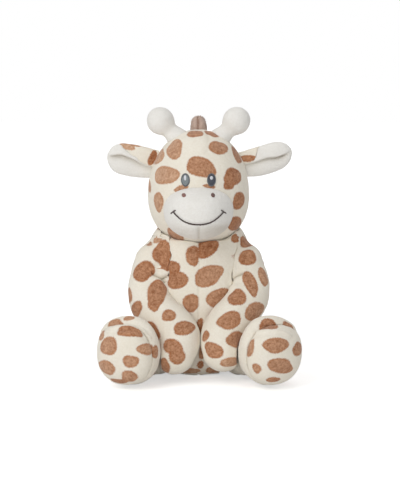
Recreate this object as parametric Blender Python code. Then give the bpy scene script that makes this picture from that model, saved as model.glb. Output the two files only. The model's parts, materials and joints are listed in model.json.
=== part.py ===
"""Plush giraffe, sitting: printed pile skins over wadding, with sewn limbs that flex.

Metres, +Z up, the toy faces -Y, and its own left is +X. The origin is the middle of the flat
seat. Skins are open shells, as sewn covers are before they are closed, and the wadding inside
each one is a solid of its own. Limbs and head turn on round roots that sit in matching hollows.
"""

import math

import bmesh
import bpy
from mathutils import Matrix, Vector

MM = 0.001
SIDES = {"left": 1, "right": -1}
X_AXIS = Vector((1, 0, 0))
Y_AXIS = Vector((0, 1, 0))
Z_AXIS = Vector((0, 0, 1))

# Cloth and clearances
SKIN = 1.6 * MM
GAP = 0.3 * MM
MOVING_GAP = 0.4 * MM
ARM_LEG_GAP = 1.0 * MM
OVERRUN = 25 * MM

# Torso
TORSO_HEIGHT = 143 * MM
TORSO_HALF_WIDTH = 52 * MM
TORSO_FRONT = 43.5 * MM
TORSO_BACK = 45 * MM
TORSO_POWER = 2.2
TORSO_SEGMENTS = 21
# Height, width, front and back of each ring, from the seat up.
TORSO_SHARES = (
    (0.000, 0.66, 0.62, 0.64),
    (0.015, 0.80, 0.76, 0.78),
    (0.060, 0.92, 0.89, 0.90),
    (0.160, 0.99, 0.98, 0.98),
    (0.300, 1.00, 1.00, 1.00),
    (0.480, 0.965, 0.955, 0.965),
    (0.640, 0.905, 0.86, 0.87),
    (0.780, 0.93, 0.80, 0.80),
    (0.880, 0.84, 0.70, 0.76),
    (0.945, 0.71, 0.60, 0.70),
    (0.985, 0.45, 0.45, 0.45),
)

# Weighting pouch in the seat
POUCH_HALF_WIDTH = 27 * MM
POUCH_HALF_DEPTH = 16 * MM
POUCH_HEIGHT = 17 * MM
POUCH_SHIFT = 14.5 * MM
POUCH_SHARES = ((0.0, 0.80), (0.2, 0.97), (0.5, 1.0), (0.8, 0.86), (0.96, 0.5))

# Head: a ball below the ears, a taller dome above
HEAD_RADIUS = 47 * MM
HEAD_DOME = 63 * MM
HEAD_POWER = 2.15
HEAD_SINK = 28 * MM
HEAD_SEGMENTS = 24
HEAD_LOW_RINGS = 5
HEAD_HIGH_RINGS = 5
NECK_RADIUS = 24 * MM
NECK_DEPTH = 12 * MM

# Muzzle
MUZZLE_HALF_WIDTH = 31.5 * MM
MUZZLE_HALF_HEIGHT = 24 * MM
MUZZLE_REACH = 29 * MM
MUZZLE_ROOT = 20 * MM
MUZZLE_RISE = 39 * MM
MUZZLE_OUTLINE_POWER = 2.1
MUZZLE_BULGE_POWER = 2.2
MUZZLE_SEGMENTS = 24
MUZZLE_RINGS = 6

# Embroidered face
EYE_SPACING = 11.6 * MM
EYE_RISE = 20.4 * MM
EYE_HALF_WIDTH = 4.1 * MM
EYE_HALF_HEIGHT = 6.1 * MM
EYE_RELIEF = 1.0 * MM
GLINT_HALF_WIDTH = 1.3 * MM
GLINT_HALF_HEIGHT = 1.9 * MM
GLINT_RELIEF = 0.5 * MM
GLINT_RISE = 1.7 * MM
NOSTRIL_SPACING = 12.7 * MM
NOSTRIL_RISE = 16.4 * MM
NOSTRIL_HALF_WIDTH = 2.1 * MM
NOSTRIL_HALF_HEIGHT = 1.7 * MM
NOSTRIL_RELIEF = 0.7 * MM
MOUTH_HALF_WIDTH = 22.2 * MM
MOUTH_CORNER_RISE = 2.0 * MM
MOUTH_DEPTH = 10.2 * MM
MOUTH_POWER = 2.4
MOUTH_THREAD = 0.65 * MM
MOUTH_STEPS = 14
TICK_HALF_LENGTH = 3.0 * MM
TICK_SLOPE = math.radians(40)

# Ears
EAR_LENGTH = {"left": 50.5 * MM, "right": 46 * MM}
EAR_HALF_HEIGHT = 15.6 * MM
EAR_HALF_DEPTH = 6.2 * MM
EAR_RISE = 31 * MM
EAR_LIFT = {"left": math.radians(15), "right": math.radians(6)}
EAR_BACKSET = 3 * MM
EAR_START = 4 * MM
EAR_SEAM_SINK = 0.5 * MM
EAR_CLOTH = 1.5 * MM
EAR_FOLD = math.radians(20)
EAR_COLUMNS = 10
EAR_OPEN_ROOT = math.radians(-8)
EAR_OPEN_TIP = math.radians(40)
EAR_END = math.radians(282)
# Distance out, height and depth of the ear's cup.
EAR_SHARES = (
    (0.00, 0.74, 0.20),
    (0.12, 0.78, 0.24),
    (0.26, 0.88, 0.72),
    (0.44, 0.98, 1.00),
    (0.62, 1.00, 0.95),
    (0.78, 0.90, 0.80),
    (0.90, 0.66, 0.58),
    (0.96, 0.42, 0.40),
    (1.00, 0.15, 0.20),
)
EAR_LEAST = 0.2 * MM

# Horns
HORN_SPREAD = math.radians(19)
HORN_TILT = math.radians(44)
HORN_LENGTH = 32 * MM
HORN_KNOB_RADIUS = 12.6 * MM
HORN_STEM_RADIUS = 7.8 * MM
HORN_FLARE = 2.4 * MM
HORN_SEGMENTS = 12
HORN_ROOT = 6 * MM
HORN_STEM_RINGS = 3
HORN_KNOB_RINGS = 5

# Mane
MANE_HALF_WIDTH = 8.0 * MM
MANE_HEIGHT = 13.5 * MM
MANE_START = math.radians(83)
MANE_END = math.radians(-4)
MANE_STEPS = 9
MANE_SEGMENTS = 8
MANE_TAPER_SHARE = 0.16

# Arms
SHOULDER_DROP = 38.5 * MM
SHOULDER_OUT = 43 * MM
SHOULDER_FORWARD = 14 * MM
SHOULDER_RADIUS = 16 * MM
ARM_DROP = {"left": 80.5 * MM, "right": 84 * MM}
ARM_FORWARD = 46 * MM
ARM_INWARD = 25.5 * MM
ARM_RADIUS = 19.4 * MM
ARM_THICKNESS_SHARE = 0.9
ARM_SEGMENTS = 12
ARM_STEPS = 9
PAW_TIP = 16 * MM
PAW_TIP_RINGS = 3
# Inward, forward and down, from the shoulder to the middle of the paw, then the radius.
ARM_SHARES = (
    (0.00, 0.00, 0.00, 0.76),
    (-0.12, 0.09, 0.18, 0.90),
    (-0.10, 0.28, 0.38, 1.00),
    (0.30, 0.58, 0.57, 1.02),
    (0.82, 0.84, 0.78, 0.97),
    (1.00, 1.00, 1.00, 0.86),
)
ARM_BORE = 8 * MM
ARM_SWING = (0.0, math.radians(9), math.radians(18), math.radians(28))

# Legs
HIP_OUT = 38 * MM
HIP_FORWARD = 24 * MM
HIP_RADIUS = 17 * MM
HIP_RAISE = math.radians(8)
LEG_SPLAY = {"left": math.radians(26.5), "right": math.radians(25)}
LEG_LENGTH = 74.7 * MM
FOOT_HALF_WIDTH = 27 * MM
FOOT_HALF_HEIGHT = 30.5 * MM
FOOT_SINK = 0.5 * MM
LEG_POWER = 2.15
LEG_SEGMENTS = 15
# Distance out, width, height and the middle's height.
LEG_SHARES = (
    (0.00, 0.52, 0.46, 0.55),
    (0.20, 0.58, 0.52, 0.61),
    (0.38, 0.62, 0.58, 0.73),
    (0.52, 0.78, 0.76, 0.91),
    (0.63, 0.93, 0.93, 1.05),
    (0.75, 1.00, 1.00, 1.12),
    (0.87, 0.97, 0.97, 1.13),
    (0.95, 0.88, 0.88, 1.13),
    (1.00, 0.76, 0.78, 1.13),
)
SOLE_BULGE = 6.0 * MM
SOLE_POWER = 2.4
SOLE_RINGS = 3
LEG_BORE = 8 * MM

# Tail
TAIL_RISE = 48 * MM
TAIL_LENGTH = 26 * MM
TAIL_RADIUS = 4.6 * MM
TAIL_DROP = math.radians(75)
TAIL_SEGMENTS = 8
TUFT_RADIUS = 7.5 * MM
TUFT_LENGTH = 19 * MM
TUFT_RINGS = 5

# Colours of cloth and thread: colour and roughness
FINISHES = {
    "cream_pile": ((0.80, 0.74, 0.63), 0.95),
    "white_pile": ((0.84, 0.82, 0.78), 0.95),
    "brown_pile": ((0.36, 0.22, 0.15), 0.95),
    "grey_thread": ((0.16, 0.17, 0.19), 0.55),
    "white_thread": ((0.85, 0.85, 0.87), 0.5),
    "brown_thread": ((0.12, 0.05, 0.04), 0.6),
    "wadding": ((0.86, 0.86, 0.84), 1.0),
    "pouch_cloth": ((0.62, 0.60, 0.56), 0.9),
}


def finish(name):
    """The named material, made the first time that it is asked for."""
    found = bpy.data.materials.get(name)
    if found:
        return found
    colour, roughness = FINISHES[name]
    made = bpy.data.materials.new(name)
    made.use_nodes = True
    shader = made.node_tree.nodes["Principled BSDF"]
    shader.inputs["Base Color"].default_value = (*colour, 1.0)
    shader.inputs["Roughness"].default_value = roughness
    shader.inputs["Metallic"].default_value = 0.0
    return made


def add_object(name, points, faces, material=None):
    """A mesh object with its faces outwards. With no material it is a cutter, which isn't rendered."""
    mesh = bpy.data.meshes.new(name)
    mesh.from_pydata([tuple(p) for p in points], [], faces)
    shaped = bmesh.new()
    shaped.from_mesh(mesh)
    bmesh.ops.recalc_face_normals(shaped, faces=shaped.faces)
    shaped.to_mesh(mesh)
    shaped.free()
    obj = bpy.data.objects.new(name, mesh)
    bpy.context.scene.collection.objects.link(obj)
    if material:
        mesh.materials.append(finish(material))
        mesh.shade_smooth()
        mesh.set_sharp_from_angle(angle=math.radians(50))
    else:
        obj.hide_render = True
        obj.display_type = "WIRE"
    return obj


def combine(obj, operation, other):
    """A live Boolean between two objects."""
    modifier = obj.modifiers.new(f"{operation} {other.name}", "BOOLEAN")
    modifier.operation = operation
    modifier.solver = "EXACT"
    modifier.object = other
    return obj


def cut(obj, *others):
    for other in others:
        combine(obj, "DIFFERENCE", other)
    return obj


def join(obj, *others):
    for other in others:
        combine(obj, "UNION", other)
    return obj


def facets(count, inset):
    """Sides round a form: fewer on the insides, which don't show."""
    return count * 2 // 3 if inset > 0 else count


def signed_power(value, power):
    return math.copysign(abs(value) ** power, value)


def ring(centre, side, up, half_side, low, high, segments, power=2.0):
    """Points round a superellipse. It reaches half_side both ways, low against up and high along it."""
    points = []
    for k in range(segments):
        angle = math.tau * k / segments
        across = half_side * signed_power(math.cos(angle), 2 / power)
        rise = signed_power(math.sin(angle), 2 / power)
        points.append(centre + side * across + up * rise * (high if rise > 0 else low))
    return points


def bridge(rings):
    """Points and faces between rings of equal count.

    Every square is split along the same diagonal, so that nested forms keep their gap.
    """
    count = len(rings[0])
    points = [p for each in rings for p in each]
    faces = []
    for row in range(len(rings) - 1):
        for k in range(count):
            here, beside = row * count + k, row * count + (k + 1) % count
            faces.append((here, beside, beside + count))
            faces.append((here, beside + count, here + count))
    return points, faces


def loft(rings, first_tip=None, last_tip=None):
    """Points and faces of a closed form through rings of equal count, with a fan to each tip."""
    count = len(rings[0])
    points, faces = bridge(rings)
    for tip, start in ((first_tip, 0), (last_tip, (len(rings) - 1) * count)):
        if tip is None:
            middle = sum(points[start:start + count], Vector()) / count
            points.append(middle)
        else:
            points.append(tip)
        for k in range(count):
            faces.append((start + k, start + (k + 1) % count, len(points) - 1))
    return points, faces


def round_allowance(segments):
    """How much a faceted ball grows so that its flats lie on the true ball."""
    return 1 / math.cos(math.pi / segments) ** 2


def add_ball(name, centre, radius, segments, outside=False):
    """A ball of facets: inside the true one, or, for a hollow, round it."""
    if outside:
        radius = radius * round_allowance(segments)
    count = segments // 2
    rings = []
    for k in range(1, count):
        angle = math.pi * k / count
        level = centre - Z_AXIS * radius * math.cos(angle)
        reach = radius * math.sin(angle)
        rings.append(ring(level, X_AXIS, Y_AXIS, reach, reach, reach, segments))
    return add_object(name, *loft(rings, centre - Z_AXIS * radius, centre + Z_AXIS * radius))


def add_rod(name, start, end, radius, segments, material=None):
    """A straight round bar between two points."""
    along = (end - start).normalized()
    side = along.orthogonal().normalized()
    up = along.cross(side)
    rings = [ring(p, side, up, radius, radius, radius, segments) for p in (start, end)]
    return add_object(name, *loft(rings), material)


def catmull(points, share):
    """A smooth curve through equally spaced points, read at a share of its length."""
    place = share * (len(points) - 1)
    k = min(int(place), len(points) - 2)
    t = place - k
    before = points[k - 1] if k else points[0] * 2 - points[1]
    after = points[k + 2] if k + 2 < len(points) else points[-1] * 2 - points[-2]
    here, there = points[k], points[k + 1]
    bend = before * 2 - here * 5 + there * 4 - after
    twist = (here - there) * 3 + after - before
    return (here * 2 + (there - before) * t + bend * t ** 2 + twist * t ** 3) / 2


# Torso

def torso_rings(inset):
    """The torso's rings, drawn in by inset all round."""
    rings = []
    for height, width, front, back in TORSO_SHARES:
        level = Z_AXIS * (inset + height * (TORSO_HEIGHT - 2 * inset))
        rings.append(ring(level, X_AXIS, Y_AXIS, width * TORSO_HALF_WIDTH - inset,
                          front * TORSO_FRONT - inset, back * TORSO_BACK - inset,
                          facets(TORSO_SEGMENTS, inset), TORSO_POWER))
    return rings


def torso_mesh(inset):
    return loft(torso_rings(inset), last_tip=Z_AXIS * (TORSO_HEIGHT - inset))


def head_seat():
    """How high the head's lowest point sits."""
    return TORSO_HEIGHT - HEAD_SINK


def head_centre():
    return Z_AXIS * (head_seat() + HEAD_RADIUS)


def shoulder(side):
    return Vector((SIDES[side] * SHOULDER_OUT, -SHOULDER_FORWARD, TORSO_HEIGHT - SHOULDER_DROP))


def hip(side):
    return Vector((SIDES[side] * HIP_OUT, -HIP_FORWARD, HIP_RADIUS))


def add_hip_notch(name, side, inset):
    """The corner that a leg fills from lying forward to hanging down, as a prism along X."""
    centre = hip(side)
    radius = (HIP_RADIUS + MOVING_GAP) * round_allowance(LEG_SEGMENTS) + inset
    reach = HIP_FORWARD + TORSO_FRONT
    outline = [Vector((0, radius, -reach))]
    turns = LEG_SEGMENTS // 2
    for k in range(turns + 1):
        angle = (math.pi / 2 - HIP_RAISE) * k / turns
        outline.append(Vector((0, radius * math.cos(angle), radius * math.sin(angle))))
    last = outline[-1]
    outline.append(Vector((0, -reach, last.z + (last.y + reach) * math.tan(HIP_RAISE))))
    outline.append(Vector((0, -reach, -reach)))
    inner = centre.x - SIDES[side] * radius
    rings = [[Vector((x, centre.y, centre.z)) + p for p in outline]
             for x in (inner, centre.x + SIDES[side] * reach)]
    count = len(outline)
    faces = [(k, (k + 1) % count, (k + 1) % count + count, k + count) for k in range(count)]
    faces += [tuple(range(count)), tuple(range(count, 2 * count))]
    return add_object(name, rings[0] + rings[1], faces)


def hollow_torso(obj, inset):
    """Cuts the torso's hollows for the head, shoulders and hips, all drawn in by inset."""
    tag = obj.name
    cut(obj, add_ball(f"{tag}_head_hollow", head_centre(), HEAD_RADIUS + MOVING_GAP + inset,
                      HEAD_SEGMENTS, outside=True))
    for side in SIDES:
        cut(obj, add_ball(f"{tag}_shoulder_hollow_{side}", shoulder(side),
                          SHOULDER_RADIUS + MOVING_GAP + inset, ARM_SEGMENTS, outside=True))
        cut(obj, add_hip_notch(f"{tag}_hip_notch_{side}", side, inset))
    return obj


def neck_span():
    """The lowest and highest points of the neck's wadding, on the axis, before its dish is cut."""
    return Z_AXIS * (head_seat() - NECK_DEPTH), Z_AXIS * (head_seat() + NECK_DEPTH)


def pouch_rings(swell):
    """The pouch's rings, let out by swell."""
    bottom = SKIN + GAP
    rings = []
    for height, width in POUCH_SHARES:
        level = Vector((0, POUCH_SHIFT, bottom - swell + height * (POUCH_HEIGHT + 2 * swell)))
        rings.append(ring(level, X_AXIS, Y_AXIS, width * POUCH_HALF_WIDTH + swell,
                          width * POUCH_HALF_DEPTH + swell, width * POUCH_HALF_DEPTH + swell,
                          TORSO_SEGMENTS // 2))
    return rings


def add_torso():
    """Torso cover, wadding, neck wadding and the weighting pouch."""
    low, high = neck_span()
    hollow = hollow_torso(add_object("torso_inside", *torso_mesh(SKIN)), SKIN)
    join(hollow, add_rod("neck_bore", low, high + Z_AXIS * OVERRUN, NECK_RADIUS, HEAD_SEGMENTS))
    skin = add_object("torso_skin", *torso_mesh(0), "cream_pile")
    cut(hollow_torso(skin, 0), hollow)

    fill = add_object("torso_filling", *torso_mesh(SKIN + GAP), "wadding")
    hollow_torso(fill, SKIN + GAP)
    recess = low - Z_AXIS * MOVING_GAP
    cut(fill, add_rod("neck_recess", recess, high + Z_AXIS * OVERRUN, NECK_RADIUS, HEAD_SEGMENTS))
    cut(fill, add_object("pouch_hollow", *loft(pouch_rings(GAP))))
    add_object("bean_pouch", *loft(pouch_rings(0)), "pouch_cloth")

    neck = add_rod("neck_filling", low, high, NECK_RADIUS - MOVING_GAP, HEAD_SEGMENTS, "wadding")
    cut(neck, add_ball("neck_dish", head_centre(), HEAD_RADIUS + MOVING_GAP, HEAD_SEGMENTS,
                       outside=True))


# Head

def head_reach(rise, inset=0.0):
    """The head's half-width at a height above its centre."""
    radius = HEAD_RADIUS - inset
    if rise < 0:
        return math.sqrt(max(radius ** 2 - rise ** 2, 0))
    share = min(rise / (HEAD_DOME - inset), 1)
    return radius * (1 - share ** HEAD_POWER) ** (1 / HEAD_POWER)


def head_mesh(inset):
    """A ball below its widest ring and a taller dome above, both drawn in by inset."""
    radius, dome = HEAD_RADIUS - inset, HEAD_DOME - inset
    rises = [-radius * math.cos(math.pi / 2 * k / HEAD_LOW_RINGS) for k in range(1, HEAD_LOW_RINGS)]
    for k in range(HEAD_HIGH_RINGS):
        rises.append(dome * math.sin(math.pi / 2 * k / HEAD_HIGH_RINGS) ** (2 / HEAD_POWER))
    rings = []
    for rise in rises:
        reach = head_reach(rise, inset)
        rings.append(ring(head_centre() + Z_AXIS * rise, X_AXIS, Y_AXIS, reach, reach, reach,
                          facets(HEAD_SEGMENTS, inset)))
    return loft(rings, head_centre() - Z_AXIS * radius, head_centre() + Z_AXIS * dome)


def face_point(x, rise):
    """The head's front surface at x and at a height above its centre."""
    reach = head_reach(rise)
    return head_centre() + Vector((x, -math.sqrt(max(reach ** 2 - x ** 2, 0)), rise))


def add_head():
    """Head cover and wadding, both open at the neck."""
    low = head_centre() - Z_AXIS * (HEAD_RADIUS + NECK_DEPTH)
    high = low + Z_AXIS * (NECK_DEPTH + OVERRUN)
    inside = add_object("head_inside", *head_mesh(SKIN))
    join(inside, add_rod("head_bore", low, high, NECK_RADIUS, HEAD_SEGMENTS))
    cut(add_object("head_skin", *head_mesh(0), "cream_pile"), inside)
    fill = add_object("head_filling", *head_mesh(SKIN + GAP), "wadding")
    join(fill, add_rod("head_plug", low, high, NECK_RADIUS - GAP, HEAD_SEGMENTS))
    combine(fill, "INTERSECT", add_object("head_outside", *head_mesh(0)))


# Muzzle

def muzzle_back():
    """The middle of the muzzle's hidden back, inside the head."""
    return Z_AXIS * (head_seat() + MUZZLE_RISE) - Y_AXIS * (HEAD_RADIUS - MUZZLE_ROOT)


def muzzle_mesh(inset):
    """A bulging cushion that starts inside the head and ends in front of it."""
    length = MUZZLE_ROOT + MUZZLE_REACH - inset
    rings = []
    for k in range(MUZZLE_RINGS):
        angle = math.pi / 2 * k / MUZZLE_RINGS
        along = length * math.sin(angle) ** (2 / MUZZLE_BULGE_POWER)
        share = math.cos(angle) ** (2 / MUZZLE_BULGE_POWER)
        half_height = (MUZZLE_HALF_HEIGHT - inset) * share
        rings.append(ring(muzzle_back() - Y_AXIS * along, X_AXIS, Z_AXIS,
                          (MUZZLE_HALF_WIDTH - inset) * share, half_height, half_height,
                          facets(MUZZLE_SEGMENTS, inset), MUZZLE_OUTLINE_POWER))
    return loft(rings, last_tip=muzzle_back() - Y_AXIS * length)


def muzzle_point(x, rise):
    """The muzzle's front surface at x and at a height above the muzzle's middle."""
    spread = (abs(x / MUZZLE_HALF_WIDTH) ** MUZZLE_OUTLINE_POWER
              + abs(rise / MUZZLE_HALF_HEIGHT) ** MUZZLE_OUTLINE_POWER)
    share = min(spread, 1) ** (MUZZLE_BULGE_POWER / MUZZLE_OUTLINE_POWER)
    along = (MUZZLE_ROOT + MUZZLE_REACH) * (1 - share) ** (1 / MUZZLE_BULGE_POWER)
    return muzzle_back() + Vector((x, -along, rise))


def add_muzzle():
    """Muzzle cover and wadding, both open against the face."""
    face = add_object("face_clearance", *head_mesh(-GAP))
    skin = add_object("muzzle_skin", *muzzle_mesh(0), "white_pile")
    cut(skin, add_object("muzzle_inside", *muzzle_mesh(SKIN)), face)
    cut(add_object("muzzle_filling", *muzzle_mesh(SKIN + GAP), "wadding"), face)


# Embroidery

def surface_normal(surface, x, rise):
    """The outward direction of a surface that faces -Y."""
    step = GAP
    along_x = surface(x + step, rise) - surface(x - step, rise)
    along_z = surface(x, rise + step) - surface(x, rise - step)
    return along_x.cross(along_z).normalized()


def add_pad(name, surface, x, rise, half_width, half_height, lift, relief, material):
    """A domed oval of close stitches that follows the surface, lift above it."""
    segments, levels = 10, 2
    under, over = [], []
    for k in range(levels, 0, -1):
        share = k / levels
        dome = math.sqrt(1 - share ** 2)
        low_ring, high_ring = [], []
        for j in range(segments):
            angle = math.tau * j / segments
            px = x + half_width * share * math.cos(angle)
            pz = rise + half_height * share * math.sin(angle)
            out = surface_normal(surface, px, pz)
            low_ring.append(surface(px, pz) + out * lift)
            high_ring.append(surface(px, pz) + out * (lift + relief * (1 + dome) / 2))
        under.append(low_ring)
        over.append(high_ring)
    out = surface_normal(surface, x, rise)
    low_tip = surface(x, rise) + out * lift
    high_tip = surface(x, rise) + out * (lift + relief)
    return add_object(name, *loft(under[::-1] + over, low_tip, high_tip), material)


def mouth_point(share):
    """A place on the smile line, from -1 at one corner to 1 at the other."""
    rise = MOUTH_CORNER_RISE - MOUTH_DEPTH * (1 - abs(share) ** MOUTH_POWER)
    return share * MOUTH_HALF_WIDTH, rise


def add_thread(name, places, material=None):
    """A six-sided cord of stitches along places on the muzzle."""
    lift = GAP + MOUTH_THREAD
    points = [muzzle_point(x, z) + surface_normal(muzzle_point, x, z) * lift for x, z in places]
    rings = []
    for k, point in enumerate(points):
        along = (points[min(k + 1, len(points) - 1)] - points[max(k - 1, 0)]).normalized()
        out = surface_normal(muzzle_point, *places[k])
        side = along.cross(out).normalized()
        rings.append(ring(point, side, side.cross(along), MOUTH_THREAD, MOUTH_THREAD,
                          MOUTH_THREAD, 6))
    return add_object(name, *loft(rings), material)


def add_face():
    """Eyes, their glints, nostrils and the smile, all stitched."""
    for side, sign in SIDES.items():
        x = sign * EYE_SPACING
        add_pad(f"eye_{side}", face_point, x, EYE_RISE, EYE_HALF_WIDTH, EYE_HALF_HEIGHT, GAP,
                EYE_RELIEF, "grey_thread")
        add_pad(f"eye_glint_{side}", face_point, x, EYE_RISE + GLINT_RISE, GLINT_HALF_WIDTH,
                GLINT_HALF_HEIGHT, 2 * GAP + EYE_RELIEF, GLINT_RELIEF, "white_thread")
        add_pad(f"nostril_{side}", muzzle_point, sign * NOSTRIL_SPACING, NOSTRIL_RISE,
                NOSTRIL_HALF_WIDTH, NOSTRIL_HALF_HEIGHT, GAP, NOSTRIL_RELIEF, "brown_thread")
    smile = add_thread("mouth", [mouth_point(2 * k / MOUTH_STEPS - 1)
                                 for k in range(MOUTH_STEPS + 1)], "brown_thread")
    for side, sign in SIDES.items():
        x, rise = mouth_point(sign)
        across, up = TICK_HALF_LENGTH * math.cos(TICK_SLOPE), TICK_HALF_LENGTH * math.sin(TICK_SLOPE)
        places = [(x + sign * across * t, rise - up * t) for t in (-1, -0.3, 0.3, 1)]
        join(smile, add_thread(f"mouth_tick_{side}", places))


# Ears

def ear_root(side):
    """The middle of the seam that holds an ear, the seam's direction up the head, and out of it."""
    sign = SIDES[side]
    step = EAR_CLOTH
    lean = math.atan2(head_reach(EAR_RISE - step) - head_reach(EAR_RISE + step), 2 * step)
    along = Vector((-sign * math.sin(lean), 0, math.cos(lean)))
    out = Vector((sign * math.cos(lean), 0, math.sin(lean)))
    seam = head_centre() + Vector((sign * head_reach(EAR_RISE), EAR_BACKSET, EAR_RISE))
    return seam - out * EAR_SEAM_SINK, along, out


def ear_frame(side):
    """The ear's root, and the directions out along the ear and up it."""
    sign = SIDES[side]
    out = Vector((sign * math.cos(EAR_LIFT[side]), 0, math.sin(EAR_LIFT[side])))
    up = Vector((-sign * math.sin(EAR_LIFT[side]), 0, math.cos(EAR_LIFT[side])))
    return ear_root(side)[0] - out * EAR_START, out, up


def add_ear_layer(name, side, inner_offset, outer_offset, material):
    """One cloth layer of the cupped ear. The first offset is of the face that meets the other layer."""
    root, out, up = ear_frame(side)
    layers = []
    for offset in (inner_offset, outer_offset):
        rows = []
        for reach, height, depth in EAR_SHARES:
            opening = EAR_OPEN_ROOT + (EAR_OPEN_TIP - EAR_OPEN_ROOT) * reach
            row = []
            for k in range(EAR_COLUMNS + 1):
                angle = opening + (EAR_END - opening) * k / EAR_COLUMNS
                tall = max(height * EAR_HALF_HEIGHT + offset, EAR_LEAST)
                deep = max(depth * EAR_HALF_DEPTH + offset, EAR_LEAST)
                row.append(root + out * (reach * EAR_LENGTH[side] + offset)
                           - Y_AXIS * deep * math.cos(angle) + up * tall * math.sin(angle))
            rows.append(row)
        layers.append(rows)
    inner, outer = layers
    rings = [near + far[::-1] for near, far in zip(inner, outer)]
    count = len(rings[0])
    points, faces = bridge(rings)
    half = count // 2
    for start in (0, (len(rings) - 1) * count):
        for k in range(half - 1):
            faces.append((start + k, start + k + 1, start + count - 2 - k, start + count - 1 - k))
    return add_object(name, points, faces, material)


def add_ear_wedge(name, side):
    """What an ear loses at its root, so that it folds both ways about its seam."""
    seam, along, out = ear_root(side)
    reach = EAR_LENGTH[side]
    spread = reach * math.tan(EAR_FOLD)
    outline = ((0, 0), (spread, reach), (-reach, reach), (-reach, -reach), (spread, -reach))
    points = [seam + along * z + out * n + Y_AXIS * y for z in (-reach, reach) for n, y in outline]
    count = len(outline)
    faces = [(k, (k + 1) % count, (k + 1) % count + count, k + count) for k in range(count)]
    faces += [tuple(range(count)), tuple(range(count, 2 * count))]
    return add_object(name, points, faces)


def add_ears():
    """Printed outside and plain lining of each ear."""
    for side in SIDES:
        wedge = add_ear_wedge(f"ear_wedge_{side}", side)
        lining_face = -(EAR_CLOTH + GAP)
        cut(add_ear_layer(f"ear_outside_{side}", side, 0, EAR_CLOTH, "cream_pile"), wedge)
        cut(add_ear_layer(f"ear_lining_{side}", side, -GAP, lining_face, "white_pile"), wedge)


# Horns

def horn_frame(side):
    """Where a horn stands on the crown, and its direction."""
    sign = SIDES[side]
    spread = math.tan(HORN_SPREAD) * HEAD_DOME
    share = spread / HEAD_RADIUS
    rise = HEAD_DOME * (1 - share ** HEAD_POWER) ** (1 / HEAD_POWER)
    foot = head_centre() + Vector((sign * spread, 0, rise))
    return foot, Vector((sign * math.sin(HORN_TILT), 0, math.cos(HORN_TILT)))


def horn_mesh(side, inset):
    """A stem that flares on the head and swells into a round knob."""
    foot, along = horn_frame(side)
    across = along.cross(Y_AXIS).normalized()
    knob = HORN_KNOB_RADIUS - inset
    stem = HORN_STEM_RADIUS - inset
    middle = HORN_LENGTH - HORN_KNOB_RADIUS
    neck = math.asin(min(stem / knob, 1))
    stem_end = middle - knob * math.cos(neck)
    rows = []
    for k in range(HORN_STEM_RINGS):
        share = k / HORN_STEM_RINGS
        rows.append((-HORN_ROOT + (stem_end + HORN_ROOT) * share,
                     stem + HORN_FLARE * (1 - share) ** 2))
    for k in range(HORN_KNOB_RINGS):
        angle = neck + (math.pi - neck) * k / HORN_KNOB_RINGS
        rows.append((middle - knob * math.cos(angle), knob * math.sin(angle)))
    rings = [ring(foot + along * reach, across, Y_AXIS, radius, radius, radius,
                  facets(HORN_SEGMENTS, inset)) for reach, radius in rows]
    return loft(rings, last_tip=foot + along * (middle + knob))


def add_horns():
    """Horn covers, open where they are sewn to the crown, and their wadding."""
    crown = bpy.data.objects["face_clearance"]
    for side in SIDES:
        inside = add_object(f"horn_inside_{side}", *horn_mesh(side, SKIN))
        cut(add_object(f"horn_skin_{side}", *horn_mesh(side, 0), "white_pile"), inside, crown)
        fill = add_object(f"horn_filling_{side}", *horn_mesh(side, SKIN + GAP), "wadding")
        cut(fill, crown)


# Mane

def mane_line(angle):
    """A place on the head's middle line and its outward direction, by angle above the horizon."""
    low, high = 0.0, HEAD_DOME
    if angle <= 0:
        reach, rise = HEAD_RADIUS * math.cos(angle), HEAD_RADIUS * math.sin(angle)
    else:
        for _ in range(40):
            rise = (low + high) / 2
            if rise < head_reach(rise) * math.tan(angle):
                low = rise
            else:
                high = rise
        reach = head_reach(rise)
    return head_centre() + Vector((0, reach, rise))


def add_mane():
    """A ridge of long pile along the middle of the crown and down the back of the head."""
    places = []
    for k in range(MANE_STEPS + 1):
        share = k / MANE_STEPS
        places.append(mane_line(MANE_START + (MANE_END - MANE_START) * share))
    rings = []
    for k, place in enumerate(places):
        along = (places[min(k + 1, MANE_STEPS)] - places[max(k - 1, 0)]).normalized()
        out = X_AXIS.cross(along).normalized()
        if out.dot(place - head_centre()) < 0:
            out = -out
        edge = min(k, MANE_STEPS - k) / MANE_STEPS / MANE_TAPER_SHARE
        swell = math.sqrt(1 - (1 - min(edge + MANE_TAPER_SHARE, 1)) ** 2)
        rings.append(ring(place, X_AXIS, out, MANE_HALF_WIDTH * swell, MANE_HALF_WIDTH * swell,
                          MANE_HEIGHT * swell, MANE_SEGMENTS))
    cut(add_object("mane", *loft(rings), "brown_pile"), bpy.data.objects["face_clearance"])


# Arms

def arm_path(side):
    """Centres and radii from the shoulder to the middle of the paw."""
    sign = SIDES[side]
    places, radii = [], []
    for inward, forward, down, radius in ARM_SHARES:
        places.append(shoulder(side) + Vector((-sign * inward * ARM_INWARD,
                                               -forward * ARM_FORWARD, -down * ARM_DROP[side])))
        radii.append(Vector((radius * ARM_RADIUS, 0, 0)))
    return places, radii


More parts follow.
